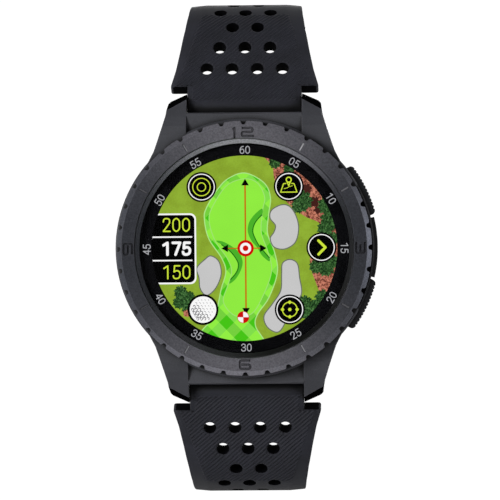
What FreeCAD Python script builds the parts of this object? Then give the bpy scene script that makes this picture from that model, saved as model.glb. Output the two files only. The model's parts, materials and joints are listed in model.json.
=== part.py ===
import FreeCAD, Part
import math
import os

# Golf GPS watch. Shapes are drawn face-on: x to 3 o'clock, y to 12 o'clock and z the height above
# the back cover. export() then turns each piece so that 12 o'clock is +Z and the dial faces -Y.

V = FreeCAD.Vector

# case, millimetres
CASE_R = 24.65
CASE_BACK_Z = 0.6
SHOULDER_Z = 9.6
DECK_Z = 8.4
CAVITY_R = 20.0
DECK_OPEN_R = 14.0
COVER_R = 22.9
COVER_TOP_Z = 1.8
CONTACT_Y = -14.6

# rotating bezel
BEZEL_IN_R = 20.85
BEZEL_OUT_R = 24.2
BEZEL_Z = 9.8
BEZEL_TOP_Z = 13.4
BEZEL_CHAMFER = 0.9
NOTCHES = 36
NOTCH_R = 0.48
NOTCH_FLOOR_R = 23.5
NOTCH_MOUTH = 1.15
TICK_R = (21.2, 22.9)
TICK_HALF = 0.2
NUMBER_R = 22.05
ENGRAVE = 0.25
STROKE = 0.42
DIGIT_CORNER = 0.38
WIRE_Z = 11.6
WIRE_R = 20.8
WIRE_THICK = 0.28
BALL_R = 0.5
BALL_Z = 9.65
BALL_R_POS = 22.6
BALL_ANGLES = (60, 180, 300)

# glass and display
FRAME_OUT_R = 20.75
FRAME_IN_R = 19.95
LEDGE_R = 18.9
LEDGE_Z = 10.95
FRAME_TOP_Z = 13.1
GLASS_R = 19.9
GLASS_Z = (11.2, 12.4)
DISPLAY_R = 18.65
TRACK_R = (17.67, 19.85)
SCREW_R_POS = 19.75
BACK_SCREW_R_POS = 21.3
SCREW_ANGLES = (45, 135, 225, 315)
BOARD_SCREW_R_POS = 15.6
BOARD_ANGLES = (0, 115, 245)

# buttons
BUTTON_ANGLE = 26.0
BUTTON_Z = 5.8
BUTTON_OUT_R = 25.8
BUTTON_IN_R = 24.5
BUTTON_HALF = 5.05
BUTTON_LOW_Z = 3.6
BUTTON_HIGH_Z = 8.0
BUTTON_CORNER = 0.8
POCKET_R = 23.75
SEAT_R = 22.6
STEM_R = 1.0
STEM_BORE_R = 1.08
KNURLS = 13
KNURL_PITCH = 0.69
KNURL_DEPTH = 0.22
CLIP_R = 19.65
SEAL_R = 21.23
GUARD_HALF_DEG = 13.2

# lugs and spring bars
LUG_IN_X = 11.02
BAR_Y = 27.2
BAR_Z = 3.5
LUG_END_Y = 29.55
LUG_END_LEAN = 13.8
LUG_END_SLANT = 24.7
PLATEAU_END_Y = 25.9
PLATEAU_Z = 8.3
SCOOP_R = 1.95
TUBE_R = 0.8
TUBE_HALF = 9.1
PIN_R = 0.45
PIN_TIP_X = 12.2

# strap: straight from the bar, one bend, then straight
NECK_HALF = 10.94
ROLL_R = 1.7
NECK_THICK = 3.0
TILT_DEG = 28.0
BEND_START = 12.0
BEND_R = 15.4
BEND_END_DEG = 92.0
BEND_STEP = 1.68
SHOULDER_S = 3.6
WIDTHS = ((3.6, 28.6), (7.5, 26.5), (12.0, 24.8), (16.8, 23.2), (21.4, 22.2), (28.7, 21.4), (40.0, 18.0),
          (200.0, 18.0))
THICKS = ((0.0, 3.0), (28.0, 3.0), (38.0, 2.0), (200.0, 2.0))
BEVELS = ((3.6, 0.9), (22.0, 2.9), (200.0, 2.9))
DROPS = ((3.6, 0.6), (22.0, 0.35), (30.0, 0.25), (200.0, 0.25))
UPPER_LEN = 78.0
LOWER_LEN = 105.0
HOLE_R = 1.24
HOLE_PITCH = 4.84
ROW_START = 7.43
ROW_PITCH = 4.65
TAIL_HALF = 9.0

# buckle and keepers, along the upper strap
FIXED_KEEPER_S = 67.0
SLIDING_KEEPER_S = 58.0
KEEPER_WALL = 1.0
KEEPER_ROOM = 3.6
KEEPER_CORNER = 0.9
BUCKLE_BAR_R = 0.75
BUCKLE_REACH = 12.0
BUCKLE_THICK = 2.2
BUCKLE_CORNER = 1.5
EYE_R = 1.6
TONGUE_HALF = 1.1


def export(name, shape):
    turned = shape.copy()
    turned.rotate(V(0, 0, 0), V(1, 0, 0), 90)
    turned.exportStep("parts/" + name + ".step")


def group(shapes):
    return Part.makeCompound(shapes)


def disc(radius, low, high, x=0, y=0):
    return Part.makeCylinder(radius, high - low, V(x, y, low))


def ring(inner, outer, low, high):
    return disc(outer, low, high).cut(disc(inner, low - 1, high + 1))


def block(x0, x1, y0, y1, z0, z1):
    return Part.makeBox(x1 - x0, y1 - y0, z1 - z0, V(x0, y0, z0))


def face(points):
    return Part.Face(Part.makePolygon(list(points) + [points[0]]))


def turned(profile):
    """A solid of revolution about the dial axis from (radius, height) points."""
    return face([V(r, 0, z) for r, z in profile]).revolve(V(0, 0, 0), V(0, 0, 1), 360)


def spun(shape, degrees, centre=V(0, 0, 0), axis=V(0, 0, 1)):
    out = shape.copy()
    out.rotate(centre, axis, degrees)
    return out


def polar(radius, degrees, z=0):
    angle = math.radians(degrees)
    return V(radius * math.cos(angle), radius * math.sin(angle), z)


def coil(radius, wire, low, high, turns):
    """A round-wire compression spring along z."""
    pitch = (high - low - 2 * wire) / turns
    path = Part.makeHelix(pitch, pitch * turns, radius)
    section = Part.Wire(Part.makeCircle(wire, V(radius, 0, 0), V(0, 1, 0)))
    spring = Part.Wire(path.Edges).makePipeShell([section], True, True)
    spring.translate(V(0, 0, low + wire))
    return spring


def along_radius(shape, height):
    """Lays a piece modelled along +z on the 3 o'clock radius of the case."""
    out = spun(shape, 90, axis=V(0, 1, 0))
    out.translate(V(0, 0, height))
    return out


def value_at(table, s):
    """Linear reading of a (distance, value) table."""
    for (s0, v0), (s1, v1) in zip(table, table[1:]):
        if s <= s1:
            return v0 + (v1 - v0) * max(0.0, s - s0) / (s1 - s0)
    return table[-1][1]


# ---------------------------------------------------------------- case


def lug_plan():
    outer = [(14.2, 28.2), (14.63, 27.7), (14.95, 25.5), (15.65, 23.2), (16.4, 20.9), (17.2, 18.6)]
    outer += [(18.4, 16.3), (18.9, 14.0), (17.0, 11.0), (LUG_IN_X, 12.0)]
    return face([V(x, y, -2) for x, y in [(LUG_IN_X, 29.6)] + outer]).extrude(V(0, 0, 16))


def lug_side():
    crown = [(11.0, SHOULDER_Z), (21.6, SHOULDER_Z), (23.4, 9.2), (25.2, 8.4), (27.2, 7.2), (30.0, 5.4)]
    tip = [(30.0, 3.5), (29.7, 2.6), (29.2, 1.9), (28.4, 1.35), (27.2, 1.1)]
    back = [(24.5, 1.0), (20.0, 0.7), (16.0, CASE_BACK_Z), (11.0, CASE_BACK_Z)]
    outline = [V(0, y, z) for y, z in crown + tip + back]
    return face(outline).extrude(V(20, 0, 0))


def lug_end():
    """The space behind the steep, slanted end face of a lug."""
    behind = block(-20, 20, -60, 0, -15, 15)
    behind = spun(behind, LUG_END_LEAN, axis=V(1, 0, 0))
    behind = spun(behind, -LUG_END_SLANT)
    behind.translate(V(LUG_IN_X, LUG_END_Y, 2.5))
    return behind


def lug():
    body = lug_plan().common(lug_side()).common(lug_end())
    hole = Part.makeCylinder(PIN_R + 0.05, 1.7, V(LUG_IN_X - 0.02, BAR_Y, BAR_Z), V(1, 0, 0))
    return body.cut(hole)


def plateau():
    outline = [(16, 0.7), (24.2, 1.3), (25.9, 4.0), (PLATEAU_END_Y, 8.0), (25.6, PLATEAU_Z)]
    outline += [(16, PLATEAU_Z)]
    body = face([V(-LUG_IN_X, y, z) for y, z in outline]).extrude(V(2 * LUG_IN_X, 0, 0))
    scoop = Part.makeCylinder(SCOOP_R, 40, V(-20, BAR_Y, BAR_Z), V(1, 0, 0))
    return body.cut(scoop)


def button_pocket(angle):
    sector = ring(POCKET_R, 30, BUTTON_LOW_Z - 0.1, BUTTON_HIGH_Z + 0.1)
    strip = block(15, 32, -BUTTON_HALF - 0.1, BUTTON_HALF + 0.1, 0, 12)
    bore = Part.makeCylinder(STEM_BORE_R, 12, V(18, 0, BUTTON_Z), V(1, 0, 0))
    seat = Part.makeCylinder(1.7, 5, V(SEAT_R, 0, BUTTON_Z), V(1, 0, 0))
    return spun(sector.common(strip).fuse([bore, seat]), angle)


def guard_sector(inner, outer, low, high, half):
    wedge = face([V(0, 0, low), polar(40, -half, low), polar(40, half, low)]).extrude(V(0, 0, high - low))
    return ring(inner, outer, low, high).common(wedge)


def mid_case():
    profile = [(23.0, CASE_BACK_Z), (24.05, CASE_BACK_Z), (CASE_R, 1.4), (CASE_R, SHOULDER_Z - 0.3)]
    profile += [(CASE_R - 0.3, SHOULDER_Z), (DECK_OPEN_R, SHOULDER_Z), (DECK_OPEN_R, DECK_Z)]
    profile += [(CAVITY_R, DECK_Z), (CAVITY_R, COVER_TOP_Z), (23.0, COVER_TOP_Z)]
    body = turned(profile)
    one = lug()
    mirrored = one.mirror(V(0, 0, 0), V(1, 0, 0))
    side = [one, mirrored, plateau()]
    ends = side + [spun(s, 180) for s in side]
    ends = [s.cut(disc(CASE_R - 0.6, 0, SHOULDER_Z + 1)) for s in ends]
    body = body.fuse(ends).removeSplitter()
    cuts = [button_pocket(BUTTON_ANGLE), button_pocket(-BUTTON_ANGLE)]
    cuts.append(guard_sector(24.1, 30, 2.55, 8.85, GUARD_HALF_DEG + 0.1))
    for angle in SCREW_ANGLES:
        spot = polar(SCREW_R_POS, angle)
        cuts.append(disc(0.9, 7.6, DECK_Z, spot.x, spot.y))
        cuts.append(disc(0.55, 7.6, 10, spot.x, spot.y))
        spot = polar(BACK_SCREW_R_POS, angle)
        cuts.append(disc(0.62, 1, 5.2, spot.x, spot.y))
    for angle in BALL_ANGLES:
        spot = polar(BALL_R_POS, angle)
        cuts.append(disc(0.55, 8.05, 10, spot.x, spot.y))
    for angle in BOARD_ANGLES:
        spot = polar(BOARD_SCREW_R_POS, angle)
        body = body.fuse(disc(1.6, 7.8, DECK_Z + 0.1, spot.x, spot.y))
        cuts.append(disc(0.52, 7, 9.3, spot.x, spot.y))
    for shape in cuts:
        body = body.cut(shape)
    return body


def glass_frame():
    profile = [(LEDGE_R, SHOULDER_Z), (FRAME_OUT_R, SHOULDER_Z), (FRAME_OUT_R, FRAME_TOP_Z)]
    profile += [(FRAME_IN_R, 12.5), (FRAME_IN_R, LEDGE_Z), (LEDGE_R, LEDGE_Z)]
    body = turned(profile).cut(wire_groove())
    for angle in SCREW_ANGLES:
        spot = polar(SCREW_R_POS, angle)
        body = body.cut(disc(0.52, 9, 10.7, spot.x, spot.y))
    return body


def small_screw(spot, head_low, head_r, head_high, shank_r, tip):
    head = disc(head_r, head_low, head_high, spot.x, spot.y)
    shank = disc(shank_r, head_high, tip, spot.x, spot.y)
    socket = Part.makeCylinder(head_r * 0.5, 0.3, V(spot.x, spot.y, head_low))
    return head.fuse(shank).cut(socket)


def back_cover():
    profile = [(0, 0), (22.4, 0), (COVER_R, 0.5), (COVER_R, COVER_TOP_Z), (19.9, COVER_TOP_Z)]
    profile += [(19.9, 2.0), (19.3, 2.0), (19.3, 2.7), (19.9, 2.7), (19.9, 2.9), (18.4, 2.9)]
    profile += [(18.4, 1.4), (0, 1.4)]
    body = turned(profile)
    for angle in SCREW_ANGLES:
        spot = polar(BACK_SCREW_R_POS, angle)
        body = body.cut(disc(1.05, -1, 0.75, spot.x, spot.y))
        body = body.cut(disc(0.65, -1, 3, spot.x, spot.y))
    for x in contact_xs():
        body = body.cut(disc(0.8, -1, 3, x, CONTACT_Y))
    return body


def contact_xs():
    """Places of the charging contacts across the back cover."""
    return [(i - 1.5) * 2.54 for i in range(4)]


# ---------------------------------------------------------------- bezel


def notch():
    """One finger notch at 3 o'clock: rounded floor, flared mouth."""
    centre_r = NOTCH_FLOOR_R + NOTCH_R
    low = BEZEL_Z - 1
    points = []
    for step in range(7):
        angle = math.radians(90 + step * 30)
        points.append(V(centre_r + NOTCH_R * math.cos(angle), NOTCH_R * math.sin(angle), low))
    for radius, aside in ((centre_r + 0.07, -NOTCH_R - 0.04), (BEZEL_OUT_R + 0.5, -NOTCH_MOUTH)):
        points.append(V(radius, aside, low))
    for radius, aside in ((BEZEL_OUT_R + 0.5, NOTCH_MOUTH), (centre_r + 0.07, NOTCH_R + 0.04)):
        points.append(V(radius, aside, low))
    return face(points).extrude(V(0, 0, 6))


def stroke(points, corner):
    """An engraving cutter that follows a path with rounded corners, drawn about the origin."""
    half = STROKE / 2
    low = BEZEL_TOP_Z - ENGRAVE
    solids = []
    trims = [0.0] + [corner] * (len(points) - 2) + [0.0]
    for i in range(len(points) - 1):
        a = V(points[i][0], points[i][1], 0)
        b = V(points[i + 1][0], points[i + 1][1], 0)
        unit = (b - a).normalize()
        a = a + unit * trims[i]
        b = b - unit * trims[i + 1]
        across = V(-unit.y, unit.x, 0) * half
        corners = [a - across, b - across, b + across, a + across]
        solids.append(face([p + V(0, 0, low) for p in corners]).extrude(V(0, 0, 1)))
    for i in range(1, len(points) - 1):
        here = V(points[i][0], points[i][1], 0)
        back = (V(points[i - 1][0], points[i - 1][1], 0) - here).normalize()
        ahead = (V(points[i + 1][0], points[i + 1][1], 0) - here).normalize()
        centre = here + (back + ahead) * corner
        tube = disc(corner + half, low, low + 1, centre.x, centre.y)
        tube = tube.cut(disc(corner - half, low - 1, low + 2, centre.x, centre.y))
        quarter = face([centre, centre - ahead * 2 * corner, here - (back + ahead) * corner,
                        centre - back * 2 * corner])
        quarter.translate(V(0, 0, low))
        solids.append(tube.common(quarter.extrude(V(0, 0, 1))))
    return solids[0].fuse(solids[1:])


def digit_paths(digit, w, h):
    """Square-shouldered digits, w wide and h high, about their own centre."""
    x = w / 2 - STROKE / 2
    y = h / 2 - STROKE / 2
    if digit == "1":
        return [[(-0.35, y - 0.3), (0.0, y), (0.0, -y - STROKE / 2)]]
    if digit == "2":
        return [[(-x, y), (x, y), (x, 0), (-x, 0), (-x, -y), (x + STROKE / 2, -y)]]
    if digit == "3":
        return [[(-x, y), (x, y), (x, -y), (-x, -y)], [(-x * 0.6, 0), (x, 0)]]
    if digit == "6":
        return [[(x, y), (-x, y), (-x, -y), (x, -y), (x, 0), (-x, 0)]]
    return [[(-x, -y), (x, -y), (x, y), (-x, y), (-x, 0), (x, 0)]]


def sharp_stroke(points):
    """An engraving cutter whose straight legs meet at a round joint."""
    half = STROKE / 2
    low = BEZEL_TOP_Z - ENGRAVE
    solids = []
    for (x0, y0), (x1, y1) in zip(points, points[1:]):
        a = V(x0, y0, low)
        b = V(x1, y1, low)
        unit = (b - a).normalize()
        across = V(-unit.y, unit.x, 0) * half
        solids.append(face([a - across, b - across, b + across, a + across]).extrude(V(0, 0, 1)))
        solids.append(disc(half, low, low + 1, x1, y1))
    return solids[0].fuse(solids[1:])


def digit_cutter(digit, w, h, dx):
    paths = digit_paths(digit, w, h)
    if digit == "1":
        out = sharp_stroke(paths[0])
    else:
        out = stroke(paths[0], DIGIT_CORNER)
        for path in paths[1:]:
            out = out.fuse(stroke(path, DIGIT_CORNER))
    out.translate(V(dx, 0, 0))
    return out


def hour_marks():
    """Engraving cutters: a tick at most hours and a number at 12, 3, 6 and 9."""
    low = BEZEL_TOP_Z - ENGRAVE
    tick = block(TICK_R[0], TICK_R[1], -TICK_HALF, TICK_HALF, low, low + 1)
    marks = [spun(tick, 90 - 30 * hour) for hour in (1, 2, 4, 5, 7, 8, 10, 11)]
    for digit, wide, high, aside in (("1", 1.0, 1.95, -1.65), ("2", 2.5, 1.95, 0.75)):
        marks.append(digit_cutter(digit, wide, high, aside).translated(V(0, NUMBER_R, 0)))
    for digit, hour, wide, high, turn in (("3", 3, 2.45, 2.05, -90), ("9", 9, 2.45, 2.05, 90),
                                          ("6", 6, 2.4, 2.0, 0)):
        shape = spun(digit_cutter(digit, wide, high, 0), turn)
        marks.append(shape.translated(polar(NUMBER_R, 90 - 30 * hour)))
    return marks


def wire_groove():
    """The groove that the bezel's spring wire sits in, half in the bezel and half in the glass frame."""
    return Part.makeTorus(WIRE_R, WIRE_THICK + 0.03, V(0, 0, WIRE_Z))


def bezel_ring():
    profile = [(BEZEL_IN_R, BEZEL_Z), (BEZEL_OUT_R - 0.2, BEZEL_Z), (BEZEL_OUT_R, BEZEL_Z + 0.2)]
    profile += [(BEZEL_OUT_R, BEZEL_TOP_Z - BEZEL_CHAMFER)]
    profile += [(BEZEL_OUT_R - BEZEL_CHAMFER, BEZEL_TOP_Z), (BEZEL_IN_R + 0.1, BEZEL_TOP_Z)]
    profile += [(BEZEL_IN_R, BEZEL_TOP_Z - 0.1)]
    body = turned(profile).cut(wire_groove())
    first = notch()
    body = body.cut([spun(first, i * 360.0 / NOTCHES) for i in range(NOTCHES)])
    dimple = Part.makeSphere(BALL_R + 0.08, polar(BALL_R_POS, 0, BALL_Z))
    body = body.cut([spun(dimple, i * 360.0 / NOTCHES) for i in range(NOTCHES)])
    return body.cut(hour_marks())


def bezel_wire():
    hoop = Part.makeTorus(WIRE_R, WIRE_THICK, V(0, 0, WIRE_Z))
    gap = block(0, 30, -2.5, 2.5, 10, 13)
    return hoop.cut(spun(gap, 200))


# ---------------------------------------------------------------- buttons


def button_cap():
    shell = ring(BUTTON_IN_R, BUTTON_OUT_R, BUTTON_LOW_Z, BUTTON_HIGH_Z)
    body = shell.common(block(20, 30, -BUTTON_HALF, BUTTON_HALF, 0, 12))
    corners = [e for e in body.Edges if e.BoundBox.ZLength > 4 and e.CenterOfMass.x > BUTTON_IN_R + 0.5]
    body = body.makeFillet(BUTTON_CORNER, corners)
    stem = Part.makeCylinder(STEM_R, 6.0, V(19.15, 0, BUTTON_Z), V(1, 0, 0))
    body = body.fuse(stem)
    for low, high, radius in ((SEAL_R - 0.33, SEAL_R + 0.33, 0.62), (CLIP_R - 0.18, CLIP_R + 0.18, 0.7)):
        slot = Part.makeCylinder(3, high - low, V(low, 0, BUTTON_Z), V(1, 0, 0))
        body = body.cut(slot.cut(Part.makeCylinder(radius, 9, V(17, 0, BUTTON_Z), V(1, 0, 0))))
    grooves = []
    for i in range(KNURLS):
        degrees = math.degrees((i - (KNURLS - 1) / 2) * KNURL_PITCH / BUTTON_OUT_R)
        mouth = BUTTON_OUT_R + 0.15
        vee = face([V(BUTTON_OUT_R - KNURL_DEPTH, 0, 0), V(mouth, 0.3, 0), V(mouth, -0.3, 0)])
        vee = vee.extrude(V(0, 0, 12))
        grooves.append(spun(vee, degrees))
    return body.cut(grooves)


def button_seal():
    return along_radius(Part.makeTorus(0.85, 0.22, V(0, 0, SEAL_R)), BUTTON_Z)


def button_clip():
    plate = disc(1.7, CLIP_R - 0.15, CLIP_R + 0.15).cut(disc(0.72, 19, 21))
    plate = plate.cut(block(-0.6, 0.6, 0, 3, 19, 21))
    return along_radius(plate, BUTTON_Z)


def button_spring():
    return along_radius(coil(1.3, 0.2, SEAT_R, BUTTON_IN_R - 0.05, 3), BUTTON_Z)


def switch():
    body = block(16.2, 18.0, -2.3, 2.3, 4.9, 6.98)
    return body.fuse(Part.makeCylinder(0.7, 0.5, V(18.0, 0, BUTTON_Z), V(1, 0, 0)))


# ---------------------------------------------------------------- inside


def main_board():
    body = disc(18.4, 7.0, 7.8)
    for angle in BOARD_ANGLES:
        spot = polar(BOARD_SCREW_R_POS, angle)
        body = body.cut(disc(0.6, 6, 9, spot.x, spot.y))
    return body


def battery_tray():
    plate = block(-13.2, 13.2, -12.6, 12.6, 6.25, 6.95)
    rim = block(-13.2, 13.2, -12.6, 12.6, 4.2, 6.3).cut(block(-12.55, 12.55, -11.55, 11.55, 3, 7))
    rim = rim.cut(block(-5, 5, -13, -11, 3, 7))
    lobe = disc(4.2, 6.25, 6.95, 0, -15.5)
    return plate.fuse(rim).fuse(lobe)


def display_flex():
    outline = [(-12.9, 9.55), (-9.0, 9.55), (-9.0, 9.4), (-12.75, 9.4), (-12.75, 7.85), (-9.5, 7.85)]
    outline += [(-9.5, 7.8), (-12.9, 7.8)]
    return face([V(-4, y, z) for y, z in outline]).extrude(V(8, 0, 0))


# ---------------------------------------------------------------- straps


def strap_point(s):
    """Centre line of the 12 o'clock strap: its place and downward angle at distance s from the bar."""
    tilt = math.radians(TILT_DEG)
    if s <= BEND_START:
        return V(0, BAR_Y + s * math.cos(tilt), BAR_Z - s * math.sin(tilt)), tilt
    start = V(0, BAR_Y + BEND_START * math.cos(tilt), BAR_Z - BEND_START * math.sin(tilt))
    centre = start - V(0, math.sin(tilt), math.cos(tilt)) * BEND_R
    angle = min(tilt + (s - BEND_START) / BEND_R, math.radians(BEND_END_DEG))
    point = centre + V(0, math.sin(angle), math.cos(angle)) * BEND_R
    spent = BEND_START + (angle - tilt) * BEND_R
    point = point + V(0, math.cos(angle), -math.sin(angle)) * (s - spent)
    return point, angle


def on_strap(shape, s):
    """Moves a piece from strap axes (x across, y along, z outwards) to distance s on the strap."""
    point, angle = strap_point(s)
    out = spun(shape, -math.degrees(angle), axis=V(1, 0, 0))
    out.translate(point)
    return out


def strap_section(s, half):
    thick = value_at(THICKS, s) / 2
    bevel = value_at(BEVELS, s)
    point, angle = strap_point(s)
    along = V(0, math.sin(angle), math.cos(angle))
    drop = value_at(DROPS, s)
    outline = [(-half + 0.4, -thick), (half - 0.4, -thick), (half, -thick + 0.4), (half, thick - drop)]
    outline += [(half - bevel, thick), (-half + bevel, thick), (-half, thick - drop), (-half, -thick + 0.4)]
    points = [point + V(x, 0, 0) + along * z for x, z in outline]
    return Part.makePolygon(points + [points[0]])


def strap_slab(length, round_end):
    stations = [SHOULDER_S, 7.5, BEND_START]
    stations += [BEND_START + BEND_STEP * i for i in range(1, 12)]
    stations += [34.0, 40.0]
    sections = [strap_section(s, value_at(WIDTHS, s) / 2) for s in stations]
    if round_end:
        straight = length - TAIL_HALF
        sections.append(strap_section(straight, TAIL_HALF))
        for degrees in (20, 40, 55, 68):
            angle = math.radians(degrees)
            reach = TAIL_HALF * math.sin(angle)
            sections.append(strap_section(straight + reach, TAIL_HALF * math.cos(angle)))
    else:
        sections.append(strap_section(length, TAIL_HALF))
    return Part.makeLoft(sections, True, True)


def hole_cutters(rows):
    cutters = []
    for i, count in enumerate(rows):
        s = ROW_START + i * ROW_PITCH
        for k in range(count):
            x = (k - (count - 1) / 2) * HOLE_PITCH
            cutters.append(on_strap(Part.makeCylinder(HOLE_R, 8, V(x, 0, -4)), s))
    return cutters


def strap(length, rows, round_end):
    neck = Part.makeBox(2 * NECK_HALF, SHOULDER_S + 0.5, NECK_THICK, V(-NECK_HALF, 0, -NECK_THICK / 2))
    roll = Part.makeCylinder(ROLL_R, 2 * NECK_HALF, V(-NECK_HALF, 0, 0), V(1, 0, 0))
    bore = Part.makeCylinder(TUBE_R + 0.05, 30, V(-15, 0, 0), V(1, 0, 0))
    root = on_strap(neck.fuse(roll), 0)
    body = strap_slab(length, round_end).fuse(root).cut(on_strap(bore, 0))
    return body.cut(hole_cutters(rows))


def strap_upper():
    body = strap(UPPER_LEN, (4, 3, 2, 3, 2, 3), False)
    eye = Part.makeCylinder(EYE_R, 2 * TAIL_HALF, V(-TAIL_HALF, 0, 0), V(1, 0, 0))
    body = body.fuse(on_strap(eye, UPPER_LEN))
    bore = Part.makeCylinder(BUCKLE_BAR_R + 0.05, 30, V(-15, 0, 0), V(1, 0, 0))
    slot_half = TONGUE_HALF + 0.2
    slot = Part.makeBox(2 * slot_half, 6.0, 6.0, V(-slot_half, -2.4, -3))
    return body.cut(on_strap(bore, UPPER_LEN)).cut(on_strap(slot, UPPER_LEN))


def bar_tube():
    rod = Part.makeCylinder(TUBE_R, 2 * TUBE_HALF, V(-TUBE_HALF, 0, 0), V(1, 0, 0))
    for side in (1, -1):
        rod = rod.cut(Part.makeCylinder(0.55, 9, V(2.0 * side, 0, 0), V(side, 0, 0)))
    return on_strap(rod, 0)


def bar_pin(side):
    way = V(side, 0, 0)
    pin = Part.makeCylinder(0.5, 4.5, V(6.0 * side, 0, 0), way)
    pin = pin.fuse(Part.makeCylinder(0.75, 0.35, V(10.35 * side, 0, 0), way))
    pin = pin.fuse(Part.makeCylinder(PIN_R, PIN_TIP_X - 10.6, V(10.6 * side, 0, 0), way))
    return on_strap(pin, 0)


def bar_spring(side):
    spring = spun(coil(0.38, 0.1, 2.02, 5.98, 7), 90 * side, axis=V(0, 1, 0))
    return on_strap(spring, 0)


def buckle_frame():
    half = TAIL_HALF + 1.6
    outer = Part.makeBox(2 * half, BUCKLE_REACH + 3.6, BUCKLE_THICK, V(-half, -1.6, -BUCKLE_THICK / 2))
    inner = Part.makeBox(2 * TAIL_HALF + 0.8, BUCKLE_REACH + 4.8, 6, V(-TAIL_HALF - 0.4, -5, -3))
    body = outer.cut(inner)
    ends = [e for e in body.Edges if abs(abs(e.CenterOfMass.x) - half) < 0.01
            and e.CenterOfMass.y > 0 and e.BoundBox.ZLength > BUCKLE_THICK - 0.1]
    body = body.makeFillet(BUCKLE_CORNER, ends)
    rims = [e for e in body.Edges if abs(abs(e.CenterOfMass.z) - BUCKLE_THICK / 2) < 0.01]
    body = body.makeChamfer(0.3, rims)
    hole = Part.makeCylinder(BUCKLE_BAR_R + 0.01, 20.2, V(-10.1, 0, 0), V(1, 0, 0))
    return on_strap(body.cut(hole), UPPER_LEN)


def buckle_tongue():
    eye = Part.makeCylinder(1.45, 2 * TONGUE_HALF, V(-TONGUE_HALF, 0, 0), V(1, 0, 0))
    reach = BUCKLE_REACH + 1.7
    outline = [(0, 0.4), (3.0, 1.15), (reach, 1.15), (reach, 1.95), (2.6, 1.95), (0, 1.4)]
    blade = face([V(-TONGUE_HALF, y, z) for y, z in outline]).extrude(V(2 * TONGUE_HALF, 0, 0))
    hole = Part.makeCylinder(BUCKLE_BAR_R + 0.05, 5, V(-2.5, 0, 0), V(1, 0, 0))
    return on_strap(eye.fuse(blade).cut(hole), UPPER_LEN)


def keeper(s, length, gap):
    """A loop that lies on the underside of the strap and leaves room above it for the other end."""
    half = TAIL_HALF + gap
    low = -1.0 - gap
    outer_half = half + KEEPER_WALL
    height = KEEPER_ROOM + 2 * KEEPER_WALL + gap
    outer = Part.makeBox(2 * outer_half, length, height, V(-outer_half, -length / 2, low - KEEPER_WALL))
    outer = outer.makeFillet(KEEPER_CORNER, [e for e in outer.Edges if e.BoundBox.YLength > length - 0.1])
    inner = Part.makeBox(2 * half, length + 2, KEEPER_ROOM + gap, V(-half, -length / 2 - 1, low))
    return on_strap(outer.cut(inner), s)


# ---------------------------------------------------------------- pieces

os.makedirs("parts", exist_ok=True)

export("mid_case", mid_case())
export("side_guard", guard_sector(24.12, 25.3, 2.6, 8.8, GUARD_HALF_DEG))
export("glass_frame", glass_frame())
export("cover_glass", disc(GLASS_R, GLASS_Z[0], GLASS_Z[1]))
export("minute_track", ring(TRACK_R[0], TRACK_R[1], 11.05, GLASS_Z[0]))
export("glass_gasket", ring(18.95, 19.85, LEDGE_Z, 11.05))
export("display_panel", disc(DISPLAY_R, SHOULDER_Z, 11.0))
export("display_flex", display_flex())
export("frame_screws", group([small_screw(polar(SCREW_R_POS, a), 7.9, 0.85, DECK_Z, 0.5, 10.6)
                              for a in SCREW_ANGLES]))
export("bezel_wire", bezel_wire())
export("detent_balls", group([Part.makeSphere(BALL_R, polar(BALL_R_POS, a, BALL_Z)) for a in BALL_ANGLES]))
detent = coil(0.33, 0.1, 8.07, 9.12, 3)
export("detent_springs", group([detent.translated(polar(BALL_R_POS, a)) for a in BALL_ANGLES]))
export("bezel_ring", bezel_ring())

export("main_board", main_board())
export("board_screws", group([small_screw(polar(BOARD_SCREW_R_POS, a), 6.55, 0.85, 7.0, 0.5, 9.2)
                              for a in BOARD_ANGLES]))
export("shield_can", block(2, 11, -7, 5, 7.8, 9.1))
export("gps_antenna", block(-10, -1, -1, 8, 7.8, 9.3))
export("battery", block(-12.5, 12.5, -11.5, 11.5, 2.2, 6.2))
export("battery_tray", battery_tray())
export("vibration_motor", disc(4.0, 3.5, 6.24, 0, -15.6))
export("back_cover", back_cover())
export("back_gasket", Part.makeTorus(19.64, 0.33, V(0, 0, 2.35)))
export("back_screws", group([small_screw(polar(BACK_SCREW_R_POS, a), 0.05, 1.0, 0.75, 0.6, 5.0)
                             for a in SCREW_ANGLES]))
export("charging_contacts", group([disc(0.78, 0.05, 1.9, x, CONTACT_Y) for x in contact_xs()]))
export("button_switches", group([spun(switch(), BUTTON_ANGLE), spun(switch(), -BUTTON_ANGLE)]))

for name, angle in (("upper", BUTTON_ANGLE), ("lower", -BUTTON_ANGLE)):
    export(name + "_button_cap", spun(button_cap(), angle))
    export(name + "_button_seal", spun(button_seal(), angle))
    export(name + "_button_clip", spun(button_clip(), angle))
    export(name + "_button_spring", spun(button_spring(), angle))

export("strap_upper", strap_upper())
export("strap_lower", spun(strap(LOWER_LEN, (4, 3) + (2, 3) * 9, True), 180))
for name, turn in (("upper", 0), ("lower", 180)):
    export(name + "_bar_tube", spun(bar_tube(), turn))
    for hand, side in (("right", 1), ("left", -1)):
        way = side if turn == 0 else -side
        export(name + "_pin_" + hand, spun(bar_pin(way), turn))
        export(name + "_bar_spring_" + hand, spun(bar_spring(way), turn))

rod = Part.makeCylinder(BUCKLE_BAR_R, 20.0, V(-10.0, 0, 0), V(1, 0, 0))
export("buckle_bar", on_strap(rod, UPPER_LEN))
export("buckle_frame", buckle_frame())
export("buckle_tongue", buckle_tongue())
export("fixed_keeper", keeper(FIXED_KEEPER_S, 5.0, 0.0))
export("sliding_keeper", keeper(SLIDING_KEEPER_S, 4.5, 0.05))
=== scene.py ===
"""Golf GPS watch: the looks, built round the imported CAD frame. Lengths are millimetres until to_row()."""

import json
from math import asin, cos, hypot, pi, radians, sin, sqrt

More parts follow.
